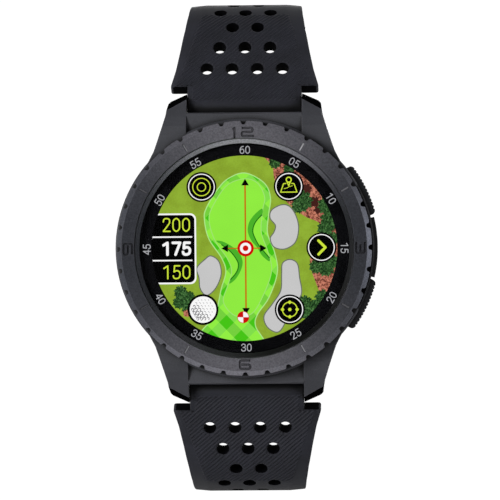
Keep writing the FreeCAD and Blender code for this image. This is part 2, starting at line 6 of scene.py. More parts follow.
import bpy
import numpy as np
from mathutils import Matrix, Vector


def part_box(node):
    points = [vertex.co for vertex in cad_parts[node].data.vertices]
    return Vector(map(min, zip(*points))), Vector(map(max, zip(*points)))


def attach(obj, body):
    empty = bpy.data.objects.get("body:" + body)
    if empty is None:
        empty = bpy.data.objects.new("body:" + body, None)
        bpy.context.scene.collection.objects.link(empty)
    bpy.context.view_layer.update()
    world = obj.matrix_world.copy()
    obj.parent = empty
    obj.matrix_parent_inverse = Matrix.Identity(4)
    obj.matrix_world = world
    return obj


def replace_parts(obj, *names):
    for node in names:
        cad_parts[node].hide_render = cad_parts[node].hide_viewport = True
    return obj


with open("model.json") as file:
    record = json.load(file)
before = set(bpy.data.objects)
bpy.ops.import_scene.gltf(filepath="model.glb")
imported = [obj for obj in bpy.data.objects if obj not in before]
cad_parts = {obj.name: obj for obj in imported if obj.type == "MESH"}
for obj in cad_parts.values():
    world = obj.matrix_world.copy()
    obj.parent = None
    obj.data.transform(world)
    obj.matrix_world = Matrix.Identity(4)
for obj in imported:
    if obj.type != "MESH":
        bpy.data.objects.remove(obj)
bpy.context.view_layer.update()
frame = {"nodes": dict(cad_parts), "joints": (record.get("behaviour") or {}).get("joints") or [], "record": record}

MM = 0.001
HINGE = {j["name"]: j for j in frame["joints"]}["upper_strap_hinge"]["pos_m"]


def depth_of(node):
    """How far the front of a CAD node stands off the case back."""
    return -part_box(node)[0].y / MM


DISPLAY_Z = depth_of("display_panel")
TRACK_Z = depth_of("minute_track")
BAR_Y = HINGE[2] / MM
BAR_Z = -HINGE[1] / MM

# ---- materials


def linear(rgb):
    """0-255 display colour to scene linear."""
    shares = [c / 255 for c in rgb]
    return [c / 12.92 if c <= 0.04045 else ((c + 0.055) / 1.055) ** 2.4 for c in shares] + [1.0]


class Look:
    """A node material with small helpers. Texture scales are in millimetres per feature."""

    def __init__(self, name, **inputs):
        self.mat = bpy.data.materials.new(name)
        self.mat.use_nodes = True
        self.tree = self.mat.node_tree
        self.bsdf = self.tree.nodes["Principled BSDF"]
        self.coord = self.node("TexCoord").outputs["Object"]
        for key, value in inputs.items():
            self.set(key.replace("_", " "), value)

    def feed(self, slot, value):
        """Set a socket to a plain value or link it to another node's output."""
        if isinstance(value, (int, float, list, tuple)):
            slot.default_value = value
        else:
            self.tree.links.new(value, slot)

    def set(self, key, value):
        self.feed(self.bsdf.inputs[key], value)

    def node(self, kind, *values, **named):
        """A new node. Values fill its first sockets; capitalised names are sockets, others settings."""
        made = self.tree.nodes.new("ShaderNode" + kind)
        for key, value in named.items():
            if key[0].isupper():
                self.feed(made.inputs[key], value)
            else:
                setattr(made, key, value)
        for slot, value in zip(made.inputs, values):
            self.feed(slot, value)
        return made

    def noise(self, size, detail=3.0, rough=0.5, stretch=(1, 1, 1)):
        place = self.node("Mapping", self.coord, Scale=stretch).outputs["Vector"]
        tex = self.node("TexNoise", place, Scale=1.0 / (size * MM), Detail=detail, Roughness=rough)
        return tex.outputs["Fac"]

    def ramp(self, value, stops):
        made = self.node("ValToRGB", value)
        elements = made.color_ramp.elements
        while len(elements) < len(stops):
            elements.new(0.5)
        for element, (at, colour) in zip(elements, stops):
            element.position = at
            element.color = colour if len(colour) == 4 else list(colour) + [1.0]
        return made.outputs["Color"]

    def tones(self, value, *stops):
        """A colour that follows the value through stops of (place, display colour)."""
        return self.ramp(value, [(at, linear(rgb)) for at, rgb in stops])

    def shades(self, value, low, high, rgb, down, up):
        """A colour that drifts from rgb * down to rgb * up as the value goes from low to high."""
        return self.tones(value, (low, [c * down for c in rgb]), (high, [min(255, c * up) for c in rgb]))

    def span(self, value, low, high, out_low, out_high):
        return self.node("MapRange", value, low, high, out_low, out_high).outputs["Result"]

    def math(self, operation, a, b=0):
        return self.node("Math", a, b, operation=operation).outputs["Value"]

    def times(self, a, b):
        return self.math("MULTIPLY", a, b)

    def plus(self, a, b):
        return self.math("ADD", a, b)

    def mix(self, fac, a, b):
        made = self.node("Mix", fac, data_type="RGBA")
        self.feed(made.inputs[6], a)
        self.feed(made.inputs[7], b)
        return made.outputs[2]

    def rounded(self, radius):
        """The outward direction of the surface as if its edges had this radius."""
        return self.node("Bevel", samples=4, Radius=radius * MM).outputs["Normal"]

    def edge(self, radius):
        """1 on sharp outer edges, 0 on flat stretches."""
        flat = self.node("NewGeometry").outputs["Normal"]
        dot = self.node("VectorMath", self.rounded(radius), flat, operation="DOT_PRODUCT")
        return self.span(dot.outputs["Value"], 0.98, 0.8, 0.0, 1.0)

    def hollow(self, reach, low=0.35, high=0.85):
        """Ambient occlusion as a mask for painted shade: 0 deep in a slot or hole, 1 in the open."""
        shade = self.node("AmbientOcclusion", samples=6, Distance=reach * MM)
        return self.span(shade.outputs["AO"], low, high, 0.0, 1.0)

    def along(self, vector, axis):
        return self.node("SeparateXYZ", vector).outputs[axis]

    def slant(self, axis):
        """How far a face's outward direction points along one axis of the row frame, -1 to 1."""
        return self.along(self.node("NewGeometry").outputs["True Normal"], axis)

    def facing(self, axis):
        """How squarely a face looks along one axis, either way, 0 to 1."""
        return self.math("ABSOLUTE", self.slant(axis))

    def place(self, axis):
        return self.along(self.coord, axis)

    def surface(self, height, depth, strength, radius):
        bump = self.node("Bump", Strength=strength, Distance=depth * MM, Height=height,
                         Normal=self.rounded(radius))
        self.set("Normal", bump.outputs["Normal"])


def grained(name, rgb, spread, rough, grain, depth, radius, worn=None, matt=None, **inputs):
    """A blasted or moulded surface: fine grain, slow tone drift, brighter rubbed edges,
    and with these, painted shade in slots and next to walls.

    The last argument, (ends, rim), paints shade: faces that look along the strap beyond the distance ends are
    painted near-black with no shine, and so are the ones that look forward beyond the distance rim to the right."""
    look = Look(name, **inputs)
    fine = look.noise(grain, 4.0, 0.65)
    slow = look.noise(grain * 40, 3.0)
    # Near-black, for the painted shade below.
    dark = linear([c * 0.12 for c in rgb])
    tone = look.plus(look.times(fine, 0.55), look.times(slow, 0.45))
    colour = look.shades(tone, 0.36, 0.64, rgb, 1 - spread, 1 + spread)
    if worn:
        mask = look.times(look.edge(radius * 1.6), look.span(slow, 0.3, 0.6, 0.35, 0.9))
        colour = look.mix(mask, colour, linear(worn))
        # Painted shade: near-black in slots and next to walls, from ambient occlusion.
        colour = look.mix(look.hollow(1.4, 0.5, 0.85), dark, colour)
    # Painted shade on faces in shadow: the lugs' end faces and the forward faces right of the rim, near-black with
    # no shine.
    if matt:
        ends, rim = matt
        far = look.math("ABSOLUTE", look.place("Z"))
        shaded_end_face = look.times(look.span(far, (ends - 0.4) * MM, ends * MM, 0, 1),
                             look.span(look.facing("Z"), 0.6, 0.75, 0, 1))
        shaded_rim_face = look.times(look.span(look.place("X"), (rim - 0.3) * MM, rim * MM, 0, 1),
                             look.span(look.facing("Y"), 0.6, 0.75, 0, 1))
        mask = look.math("MAXIMUM", shaded_end_face, shaded_rim_face)
        colour = look.mix(mask, colour, dark)
        look.set("Specular IOR Level", look.span(mask, 0, 1, 0.5, 0.0))
    look.set("Base Color", colour)
    look.set("Roughness", look.span(slow, 0.3, 0.7, rough - 0.06, rough + 0.08))
    look.surface(fine, depth, 1.0, radius)
    return look.mat


def turned_metal(name, dark, bright, rough):
    """Blasted turned metal with sparkling grain, and painted light: highlight fans towards 12 and 6 o'clock,
    a chamfer painted bright towards 3 and 6 o'clock, an inner slope painted lit at 12 and shaded elsewhere,
    and painted shade in the notches.
    """
    look = Look(name, Metallic=0.35, Specular_IOR_Level=0.35)
    angle = look.math("ARCTAN2", look.place("X"), look.place("Z"))
    up = look.math("COSINE", angle)
    # Painted highlight: the bright fans of turned metal towards 12 and 6 o'clock, laid into the base colour.
    fan_highlight = look.math("POWER", look.math("ABSOLUTE", up), 3.0)
    colour = look.mix(fan_highlight, linear(dark), linear(bright))
    fine = look.noise(0.3, 4.0, 0.75)
    slow = look.noise(4.0, 3.0)
    grain = look.ramp(fine, [(0.36, (0.72, 0.72, 0.72)), (0.64, (1.28, 1.28, 1.28))])
    # Painted highlight on the outer chamfer: brighter all round, most towards 3 o'clock and more towards 6.
    right = look.math("POWER", look.math("MAXIMUM", look.math("SINE", angle), 0), 14.0)
    low = look.math("MAXIMUM", look.times(up, -1), 0)
    chamfer_highlight = look.plus(look.times(right, 4.6), look.times(low, 0.8))
    reach = look.plus(look.math("POWER", look.place("X"), 2), look.math("POWER", look.place("Z"), 2))
    radius = look.math("SQRT", reach)
    outer = look.span(radius, 22.9 * MM, 23.1 * MM, 0, 1)
    front = look.facing("Y")
    slope = look.times(look.span(front, 0.85, 0.95, 1, 0), look.span(front, 0.4, 0.5, 0, 1))
    slope = look.times(slope, outer)
    gain = look.plus(look.times(slope, look.plus(chamfer_highlight, 0.55)), 1.0)
    # Painted light and shade on the inner slope: lit at 12, shaded at 3 and 6, a little lighter at 9.
    inner = look.span(radius, 20.75 * MM, 20.85 * MM, 1, 0)
    top_lit = look.times(look.math("POWER", look.math("MAXIMUM", up, 0), 2), 2.5)
    side_lit = look.times(look.math("SINE", angle), -0.5)
    foot_dark = look.times(low, -0.6)
    lit = look.plus(look.plus(top_lit, side_lit), foot_dark)
    shaded = look.times(inner, look.math("SUBTRACT", lit, 0.25))
    gain = look.times(gain, look.plus(shaded, 1.0))
    for factor in (grain, gain):
        colour = look.node("VectorMath", colour, factor, operation="MULTIPLY").outputs["Vector"]
    mask = look.times(look.edge(0.16), look.span(slow, 0.3, 0.65, 0.15, 0.55))
    colour = look.mix(mask, colour, linear((128, 126, 134)))
    # Painted shade: near-black deep in the notches and slots, from ambient occlusion.
    look.set("Base Color", look.mix(look.hollow(1.2, 0.45, 0.85), linear((8, 8, 10)), colour))
    look.set("Roughness", look.span(slow, 0.3, 0.7, rough - 0.05, rough + 0.08))
    look.surface(fine, 0.03, 1.0, 0.09)
    return look.mat


def brushed(name, rgb, rough=0.32, stretch=(1, 40, 40), radius=0.06):
    """Turned or brushed metal with fine lines and faint smudges."""
    look = Look(name, Metallic=1.0)
    lines = look.noise(0.6, 4.0, 0.6, stretch)
    smudge = look.noise(3.0, 3.0)
    look.set("Base Color", look.shades(lines, 0.3, 0.7, rgb, 0.86, 1))
    look.set("Roughness", look.span(smudge, 0.3, 0.7, rough - 0.07, rough + 0.12))
    look.surface(lines, 0.004, 0.6, radius)
    return look.mat


def glowing(name, colour_of):
    """A glowing patch, for the display's own light and for the painted glow of the minute numbers: colour_of(look)
    gives its colour.
    """
    look = Look(name, Base_Color=(0, 0, 0, 1), Roughness=0.5, Emission_Strength=1.0, Specular_IOR_Level=0.0)
    look.set("Emission Color", colour_of(look))
    return look.mat


def lit(name, rgb, spread=0.03):
    """A glowing colour with the faint unevenness of a real backlight; on the minute numbers it is painted light.
    """
    return glowing(name, lambda look: look.shades(look.noise(6.0, 2.0), 0.3, 0.7, rgb, 1 - spread, 1))


def glass_look():
    """Coated cover glass: clear, with a soft reflection and faint smears."""
    look = Look("cover_glass_look")
    smear = look.span(look.noise(8.0, 4.0), 0.3, 0.7, 0.02, 0.09)
    clear = look.node("BsdfTransparent", Color=(0.995, 0.995, 0.995, 1))
    gloss = look.node("BsdfGlossy", Color=(0.6, 0.62, 0.66, 1), Roughness=smear)
    outside = look.math("SUBTRACT", 1.0, look.node("NewGeometry").outputs["Backfacing"])
    weight = look.times(look.times(look.node("Fresnel", IOR=1.33).outputs["Fac"], 0.7), outside)
    mixed = look.node("MixShader", weight, clear.outputs["BSDF"], gloss.outputs["BSDF"])
    look.feed(look.tree.nodes["Material Output"].inputs["Surface"], mixed.outputs["Shader"])
    return look.mat


def silicone(name, rgb, reach=2.2, low_shade=0.35, high_shade=0.85, sheen=0.12, shine=0.32,
             turned=None):
    """Matt silicone rubber: soft sheen, dust-fine mottling, pressed grain, and painted shade: near-black deep in
    holes and slots and, when turned is given, on faces that turn back towards the case.
    """
    look = Look(name, Sheen_Weight=sheen, Sheen_Roughness=0.5, Specular_IOR_Level=shine)
    fine = look.noise(0.09, 3.0, 0.7)
    slow = look.noise(5.0, 4.0)
    tone = look.shades(slow, 0.35, 0.65, rgb, 0.92, 1.08)
    # Painted shade on faces that turn back towards the case, such as the roll round the bar.
    if turned:
        outward = look.times(look.slant("Z"), look.math("SIGN", look.place("Z")))
        tone = look.mix(look.span(outward, -turned[0], -turned[1], 0, 1), tone, linear((14, 14, 18)))
    # Painted shade: near-black deep in holes and slots, from ambient occlusion.
    look.set("Base Color", look.mix(look.hollow(reach, low_shade, high_shade), linear((5, 5, 8)), tone))
    look.set("Roughness", look.span(slow, 0.3, 0.7, 0.6, 0.74))
    look.surface(fine, 0.012, 1.0, 0.1)
    return look.mat


CASE_GREY = (73, 74, 80)
RUBBER_GREY = (45, 46, 55)
DULL = {"Specular_IOR_Level": 0.05}

LOOKS = {
    # The bezel's two colours are its tone outside and inside the painted highlight fans.
    "bezel_metal": turned_metal("bezel_blasted", (58, 60, 67), (114, 113, 120), 0.5),
    # The case: worn edges, painted shade in slots, and (26.4, 21.6) for the near-black painted shade on the lug
    # ends and right rim.
    "case_plastic": grained("case_moulded", CASE_GREY, 0.1, 0.5, 0.2, 0.018, 0.22, (104, 104, 112),
                            (26.4, 21.6)),
    # The guard's dark tone is painted shade: it sits in shadow beside the buttons.
    "guard_plastic": grained("guard_moulded_shaded", (32, 32, 35), 0.12, 0.5, 0.2, 0.01, 0.2, (42, 42, 46)),
    "button_metal": grained("button_blasted", (60, 61, 66), 0.1, 0.5, 0.15, 0.01, 0.08, (80, 80, 86),
                            Metallic=0.2),
    "strap_rubber": silicone("strap_silicone", RUBBER_GREY),
    # The strap's root: the rubber with painted shade, darker in the slot and on faces turned back towards the
    # case.
    "strap_root": silicone("strap_root_shaded_silicone", RUBBER_GREY, 3.5, 0.55, 0.9, turned=(0.1, 0.4)),
    # Near-black rubber for the hole walls and shoulder ends: painted shade.
    "strap_bore": silicone("strap_bore_shade_silicone", (12, 12, 16), 3.0, 0.4, 0.9, 0.0, 0.05),
    "seal_rubber": silicone("seal_rubber_look", (24, 24, 25)),
    "track_black": grained("track_print", (9, 9, 13), 0.08, 0.6, 0.5, 0.001, 0.05, **DULL),
    "display": grained("display_off", (6, 6, 8), 0.1, 0.6, 0.5, 0.001, 0.05, **DULL),
    "glass": glass_look(),
    "steel": brushed("steel_turned", (170, 170, 172)),
    "back_steel": brushed("back_brushed", (92, 92, 96), 0.36, (1, 1, 30)),
    "buckle_steel": brushed("buckle_brushed", (74, 75, 80), 0.34, (1, 30, 30)),
    "tin": brushed("tin_pressed", (185, 183, 176), 0.4),
    "gold": brushed("contact_gold", (214, 172, 92), 0.3),
    "foil": brushed("cell_foil", (180, 180, 184), 0.45),
    "board": grained("solder_mask", (12, 62, 34), 0.1, 0.35, 0.6, 0.01, 0.05),
    "antenna": grained("antenna_ceramic", (200, 192, 170), 0.05, 0.5, 0.3, 0.01, 0.05),
    "tray_plastic": grained("tray_moulded", (40, 40, 42), 0.1, 0.55, 0.2, 0.01, 0.1),
    "flex": grained("flex_film", (196, 128, 42), 0.06, 0.35, 0.8, 0.004, 0.03),
}

for part in frame["record"]["subparts"]:
    node = frame["nodes"][part["node"]]
    look = LOOKS[part["material_slot"]]
    if not node.material_slots:
        node.data.materials.append(look)
    for entry in node.material_slots:
        entry.material = look

# ---- mesh helpers


def to_row(x, y, z):
    """Face-on millimetres (right, towards 12, off the case back) to the row frame in metres."""
    x, y, z = np.broadcast_arrays(x, y, z)
    return np.stack([x, -z, y], axis=-1) * MM


def tube_faces(rings, count, first=0, joined=False):
    """Quads between successive rings of count points, whose numbers start at first."""
    faces = []
    for i in range(rings if joined else rings - 1):
        low, high = first + i * count, first + (i + 1) % rings * count
        for k in range(count):
            after = (k + 1) % count
            faces.append((low + k, low + after, high + after, high + k))
    return faces


def add_object(name, data):
    made = bpy.data.objects.new(name, data)
    bpy.context.scene.collection.objects.link(made)
    return made


def make_piece(name, verts, faces, body, slot, look=None, smooth=True, sharp=40):
    """One visual piece that rides on a body. It takes the look of its material slot in the frame, unless given a
    look.
    """
    mesh = bpy.data.meshes.new(name)
    mesh.from_pydata([tuple(v) for v in np.asarray(verts).reshape(-1, 3)], [], [tuple(f) for f in faces])
    mesh.validate()
    mesh.update()
    if smooth:
        mesh.shade_smooth()
        mesh.set_sharp_from_angle(angle=radians(sharp))
    mesh.materials.append(look or LOOKS[slot])
    made = add_object(name, mesh)
    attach(made, body)
    return made


def polar(r, angle, x=0.0, y=0.0):
    """The point at a distance and an angle from x, y."""
    return x + r * cos(angle), y + r * sin(angle)


# ---- straps

NECK_HALF = 10.94
ROLL_R = 1.7
TILT = radians(28.0)
BEND_START = 12.0
BEND_R = 15.4
BEND_END = radians(92.0)
SHOULDER = 3.6
WIDTH_S = (3.6, 7.5, 12.0, 16.8, 21.4, 28.7, 40.0, 200.0)
WIDTH_V = (28.6, 26.5, 24.8, 23.2, 22.2, 21.4, 18.0, 18.0)
THICK_S = (0.0, 28.0, 38.0, 200.0)
THICK_V = (3.0, 3.0, 2.0, 2.0)
BEVEL_S = (3.6, 22.0, 200.0)
BEVEL_V = (0.9, 2.9, 2.9)
DROP_S = (3.6, 22.0, 30.0)
DROP_V = (0.6, 0.35, 0.25)
EDGE_ROUND = 0.2
CORNER_R = 0.6
HOLE_R = 1.24
HOLE_PITCH = 4.84
ROW_START = 7.43
ROW_PITCH = 4.65
TAIL_HALF = 9.0
RIB_PITCH = 0.645
RIB_ANGLE = radians(43.5)
RIB_HEIGHT = 0.18
PANEL_WIDTH = 26.0
PANEL_START = 0.1
PANEL_END = 20.75
RIB_JOIN = 3.78
RIB_STEP = 0.11
RIB_CLEAR = 0.04
RIB_FADE = 0.35
RIB_FOOT = 0.03
RIB_RISE = 0.045
SKIN_STEP = 0.3
SKIN_START = 4.3
LINER_GAP = 0.03
LINER_SUNK = 0.02
EYE_R = 1.6
EYE_ROOT = 2.4
TONGUE_HALF = 1.3


def strap_path(s):
    """Centre line of a strap at distance s from its bar: y, z and the downward angle."""
    s = np.asarray(s, float)
    y0 = BAR_Y + BEND_START * cos(TILT)
    z0 = BAR_Z - BEND_START * sin(TILT)
    angle = np.clip(TILT + (s - BEND_START) / BEND_R, TILT, BEND_END)
    arc_y = y0 - BEND_R * sin(TILT) + BEND_R * np.sin(angle)
    arc_z = z0 - BEND_R * cos(TILT) + BEND_R * np.cos(angle)
    spent = BEND_START + (angle - TILT) * BEND_R
    rest = s - spent
    return arc_y + rest * np.cos(angle), arc_z - rest * np.sin(angle), angle


def strap_to_row(s, x, h, side):
    """Strap coordinates (along, across, outwards) to the row frame; side is 1 at 12 o'clock, -1 at 6."""
    y, z, angle = strap_path(s)
    y = y + h * np.sin(angle)
    z = z + h * np.cos(angle)
    return to_row(side * x, side * y, z)


def rounding(distance, radius):
    """How far a rounded edge drops below the face at a distance from the rim."""
    inside = np.clip(1 - distance / radius, 0, 1)
    return radius * (1 - np.sqrt(np.clip(1 - inside ** 2, 0, 1)))


def half_width(s, length, round_end):
    half = np.interp(s, WIDTH_S, WIDTH_V) / 2
    half = half - rounding(s - SHOULDER, CORNER_R)
    if round_end:
        reach = np.clip((s - (length - TAIL_HALF)) / TAIL_HALF, 0, 0.9995)
        half = half * np.sqrt(1 - reach ** 2)
    else:
        half = half - rounding(length - s, CORNER_R)
    return half


def row_holes(rows):
    return [(ROW_START + i * ROW_PITCH, (k - (count - 1) / 2) * HOLE_PITCH)
            for i, count in enumerate(rows) for k in range(count)]


def holed_grid(s, x, holes, radius):
    """Quads of an (ns, nx) grid with round holes: rim vertices are pulled out to the circles."""
    s, x = s.copy(), x.copy()
    inside = np.zeros(s.shape, bool)
    for hs, hx in holes:
        inside |= np.hypot(s - hs, x - hx) < radius
    corners = inside[:-1, :-1].astype(int) + inside[1:, :-1] + inside[1:, 1:] + inside[:-1, 1:]
    keep = corners < 4
    crossing = keep & (corners > 0)
    rim = np.zeros(s.shape, bool)
    for di in (0, 1):
        for dj in (0, 1):
            rim[di:s.shape[0] - 1 + di, dj:s.shape[1] - 1 + dj] |= crossing
    rim &= inside
    for hs, hx in holes:
        distance = np.hypot(s - hs, x - hx)
        near = rim & (distance < radius)
        scale = radius / np.maximum(distance, 1e-6)
        s = np.where(near, hs + (s - hs) * scale, s)
        x = np.where(near, hx + (x - hx) * scale, x)
    index = np.arange(s.size).reshape(s.shape)
    quads = np.stack([index[:-1, :-1], index[:-1, 1:], index[1:, 1:], index[1:, :-1]], axis=-1)[keep]
    return s, x, quads


def rim_edges(quads):
    """Directed edges that only one quad uses."""
    ends = np.concatenate([quads[:, [0, 1]], quads[:, [1, 2]], quads[:, [2, 3]], quads[:, [3, 0]]])
    key = np.sort(ends, axis=1)
    first, count = np.unique(key, axis=0, return_index=True, return_counts=True)[1:]
    return ends[first[count == 1]]


def used_only(verts, faces):
    used = np.unique(np.concatenate([np.asarray(f).ravel() for f in faces]))
    remap = np.full(len(verts), -1)
    remap[used] = np.arange(len(used))
    return verts[used], [remap[np.asarray(f)] for f in faces]


def edge_columns(step):
    """Signed offsets for grid columns: (fraction of the inner width, distance kept from the rim)."""
    rim = np.array([0.0, 0.12, 0.32, 0.6, 1.0]) * EDGE_ROUND
    inner = np.linspace(-1, 1, int(round(PANEL_WIDTH / step)) + 1)
    fraction = np.concatenate([-np.ones(4), inner, np.ones(4)])
    inset = np.concatenate([rim[:4], np.full(len(inner), EDGE_ROUND), rim[:4][::-1]])
    return fraction, inset


def strap_skin(name, body, side, length, rows, round_end):
    """The strap body: one closed skin with bevelled margins, rounded rims and real holes."""
    soft = np.array([0.0, 0.05, 0.13, 0.25, 0.4])
    stations = np.concatenate([SHOULDER + soft, np.arange(SKIN_START, length - 0.6, SKIN_STEP)])
    if round_end:
        turn = np.linspace(0.2, 1, 14) ** 0.5
        tip = length - TAIL_HALF + TAIL_HALF * turn * 0.9997
        stations = np.concatenate([stations[stations < tip[0] - 0.2], tip])
        stations = np.unique(np.round(stations, 5))
    else:
        stations = np.concatenate([stations, length - soft[::-1]])
    fraction, inset = edge_columns(SKIN_STEP)
    half = half_width(stations, length, round_end)[:, None]
    rim = np.minimum(inset, half * 0.6)
    inner = half - np.minimum(EDGE_ROUND, half * 0.6)
    x = np.where(np.abs(fraction) < 1, fraction * inner, np.sign(fraction) * (half - rim))
    s = np.repeat(stations[:, None], x.shape[1], axis=1)
    holes = row_holes(rows)
    s, x, quads = holed_grid(s, x, holes, HOLE_R)
    limit = half_width(s, length, round_end)
    from_side = np.maximum(limit - np.abs(x), 0)
    from_end = np.minimum(s - SHOULDER, length - s)
    gap = np.clip(np.minimum(from_side, np.maximum(from_end, 0)), 0, 9)
    thick = np.interp(s, THICK_S, THICK_V) / 2
    bevel = np.interp(s, BEVEL_S, BEVEL_V)
    drop = np.interp(s, DROP_S, DROP_V) * np.clip(1 - from_side / bevel, 0, 1)
    top = thick - drop - rounding(gap, EDGE_ROUND)
    bottom = -thick + rounding(gap, EDGE_ROUND)
    upper = strap_to_row(s, x, top, side).reshape(-1, 3)
    lower = strap_to_row(s, x, bottom, side).reshape(-1, 3)
    shift = len(upper)
    edges = rim_edges(quads)
    walls = np.stack([edges[:, 1], edges[:, 0], edges[:, 0] + shift, edges[:, 1] + shift], axis=-1)
    verts, faces = used_only(np.concatenate([upper, lower]), [quads[:, ::-1], quads + shift, walls[:, ::-1]])
    return make_piece(name, verts, np.concatenate(faces), body, "strap_rubber")


def rolled_end(name, body, side, at, way, reach, radius, slab, x_low, x_high, look):
    """A strap end that rolls round its bar: a slab that joins a roll, with softened ends.

    at is the bar's place along the strap, and the slab runs from it towards way."""
    soft = ((0.3, 0.0), (0.12, 0.05), (0.03, 0.15), (0.0, 0.3))
    stations = [(x_low + inward, shrink) for inward, shrink in soft]
    stations += [(x_high - inward, shrink) for inward, shrink in soft]
    rings = []
    for x, shrink in sorted(stations):
        big, flat = radius - shrink, slab - shrink
        lean = asin(min(1.0, flat / big))
        outline = [(reach, flat), (radius * 1.3, flat)]
        for step in range(29):
            outline.append(polar(big, lean + (2 * pi - 2 * lean) * step / 28))
        outline += [(radius * 1.3, -flat), (reach, -flat)]
        u, h = np.array(outline).T
        rings.append(strap_to_row(at + way * u, x, h, side))
    count = len(rings[0])
    faces = tube_faces(len(rings), count)
    faces.append(tuple(range(count))[::-1])
    faces.append(tuple(range((len(rings) - 1) * count, len(rings) * count)))
    if way < 0:
        faces = [f[::-1] for f in faces]
    make_piece(name, np.concatenate(rings), faces, body, "strap_rubber", look, sharp=50)


def bore_shade_liners(name, body, side, rows):
    """Near-black walls in the vent holes, a touch inside the skin's own walls: painted shade."""
    turn = np.linspace(0, 2 * pi, 41)[:-1]
    verts, faces = [], []
    for hs, hx in row_holes(rows):
        thick = np.interp(hs, THICK_S, THICK_V) / 2 - LINER_SUNK
        s = hs + (HOLE_R - LINER_GAP) * np.cos(turn)
        x = hx + (HOLE_R - LINER_GAP) * np.sin(turn)
        faces += tube_faces(2, len(turn), len(verts) * len(turn))
        verts += [strap_to_row(s, x, thick, side), strap_to_row(s, x, -thick, side)]
    make_piece(name, np.concatenate(verts), faces, body, "strap_rubber", LOOKS["strap_bore"])


def shoulder_ends(name, body, side):
    """The cut ends of the two shoulders, which face the lugs, drawn near-black: painted shadow."""
    verts, faces = [], []
    outer = WIDTH_V[0] / 2 - CORNER_R
    for hand in (1, -1):
        x = np.linspace(NECK_HALF + 0.05, outer, 9)
        drop = DROP_V[0] * np.clip(1 - (WIDTH_V[0] / 2 - x) / BEVEL_V[0], 0, 1)
        top = THICK_V[0] / 2 - drop - EDGE_ROUND * 0.7
        s = SHOULDER - LINER_SUNK
        first = len(verts) * len(x)
        verts.append(strap_to_row(s, hand * x, top, side))
        verts.append(strap_to_row(s, hand * x, EDGE_ROUND * 0.7 - THICK_V[0] / 2, side))
        for k in range(len(x) - 1):
            quad = (first + k, first + k + 1, first + len(x) + k + 1, first + len(x) + k)
            faces.append(quad if hand > 0 else quad[::-1])
    make_piece(name, np.concatenate(verts), faces, body, "strap_rubber", LOOKS["strap_bore"], smooth=False)


def rib_panel(name, body, side, rows, low, high, half_of, fade_low):
    """Fine slanted ridges between two stations. They fade at the sides, at the holes and at one end."""
    stations = np.linspace(low, high, int((high - low) / RIB_STEP) + 1)
    fraction = np.linspace(-1, 1, int(PANEL_WIDTH / RIB_STEP))
    half = half_of(stations)[:, None]
    x = half * fraction
    s = stations[:, None] + 0 * x
    holes = row_holes(rows)
    s, x, quads = holed_grid(s, x, holes, HOLE_R + RIB_CLEAR)
    clear = np.full(s.shape, RIB_FADE)
    for hs, hx in holes:
        clear = np.minimum(clear, np.hypot(s - hs, x - hx) - HOLE_R - RIB_CLEAR)
    from_end = s - low if fade_low else high - s
    fade = np.clip(np.minimum(half - np.abs(x), from_end) / RIB_FADE, 0, 1)
    fade = fade * np.clip(clear / 0.16, 0, 1)
    phase = (x * sin(RIB_ANGLE) - s * cos(RIB_ANGLE)) / RIB_PITCH
    wave = 0.5 + 0.5 * np.cos(2 * pi * phase)
    roll = np.sqrt(np.clip(ROLL_R ** 2 - s ** 2, 0, None))
    thick = np.maximum(np.interp(s, THICK_S, THICK_V) / 2, roll)
    height = thick - RIB_FOOT + fade * (RIB_RISE + RIB_HEIGHT * wave ** 1.3)
    verts, faces = used_only(strap_to_row(s, x, height, side).reshape(-1, 3), [quads[:, ::-1]])
    make_piece(name, verts, faces[0], body, "strap_rubber", sharp=180)


def field_half(stations):
    """Half width of the ribbed field inside the plain margins."""
    return np.interp(stations, WIDTH_S, WIDTH_V) / 2 - np.interp(stations, BEVEL_S, BEVEL_V)


def neck_half(stations):
    return np.full(len(stations), NECK_HALF - 0.75)


UPPER_LEN = 78.0
LOWER_LEN = 105.0
UPPER_ROWS = (4, 3, 2, 3, 2, 3)
LOWER_ROWS = (4, 3) + (2, 3) * 9

upper_skin = strap_skin("strap_upper_skin", "upper_strap", 1, UPPER_LEN - EYE_ROOT, UPPER_ROWS, False)
lower_skin = strap_skin("strap_lower_skin", "lower_strap", -1, LOWER_LEN, LOWER_ROWS, True)
for end, side, rows in (("upper", 1, UPPER_ROWS), ("lower", -1, LOWER_ROWS)):
    name, strap_body = "strap_" + end, end + "_strap"
    # The neck rolls round the bar in the root look, with its painted shade.
    rolled_end(name + "_neck", strap_body, side, 0.0, 1, SHOULDER + 0.7, ROLL_R, THICK_V[0] / 2,
               -NECK_HALF, NECK_HALF, LOOKS["strap_root"])
    rib_panel(name + "_ribs", strap_body, side, rows, RIB_JOIN, PANEL_END, field_half, False)
    rib_panel(name + "_neck_ribs", strap_body, side, rows, PANEL_START, RIB_JOIN, neck_half, True)
    bore_shade_liners(name + "_bore_shade", strap_body, side, rows)
    shoulder_ends(name + "_shoulders", strap_body, side)
for hand, x_low, x_high in (("left", -TAIL_HALF, -TONGUE_HALF), ("right", TONGUE_HALF, TAIL_HALF)):
    rolled_end("strap_upper_eye_" + hand, "upper_strap", 1, UPPER_LEN, -1, EYE_ROOT + 0.4, EYE_R,
               THICK_V[-1] / 2, x_low, x_high, LOOKS["strap_rubber"])
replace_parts(upper_skin, "strap_upper")
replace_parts(lower_skin, "strap_lower")

# ---- keepers

KEEPER_WALL = 1.0
KEEPER_ROOM = 3.6
FIXED_KEEPER_S = 67.0
SLIDING_KEEPER_S = 58.0


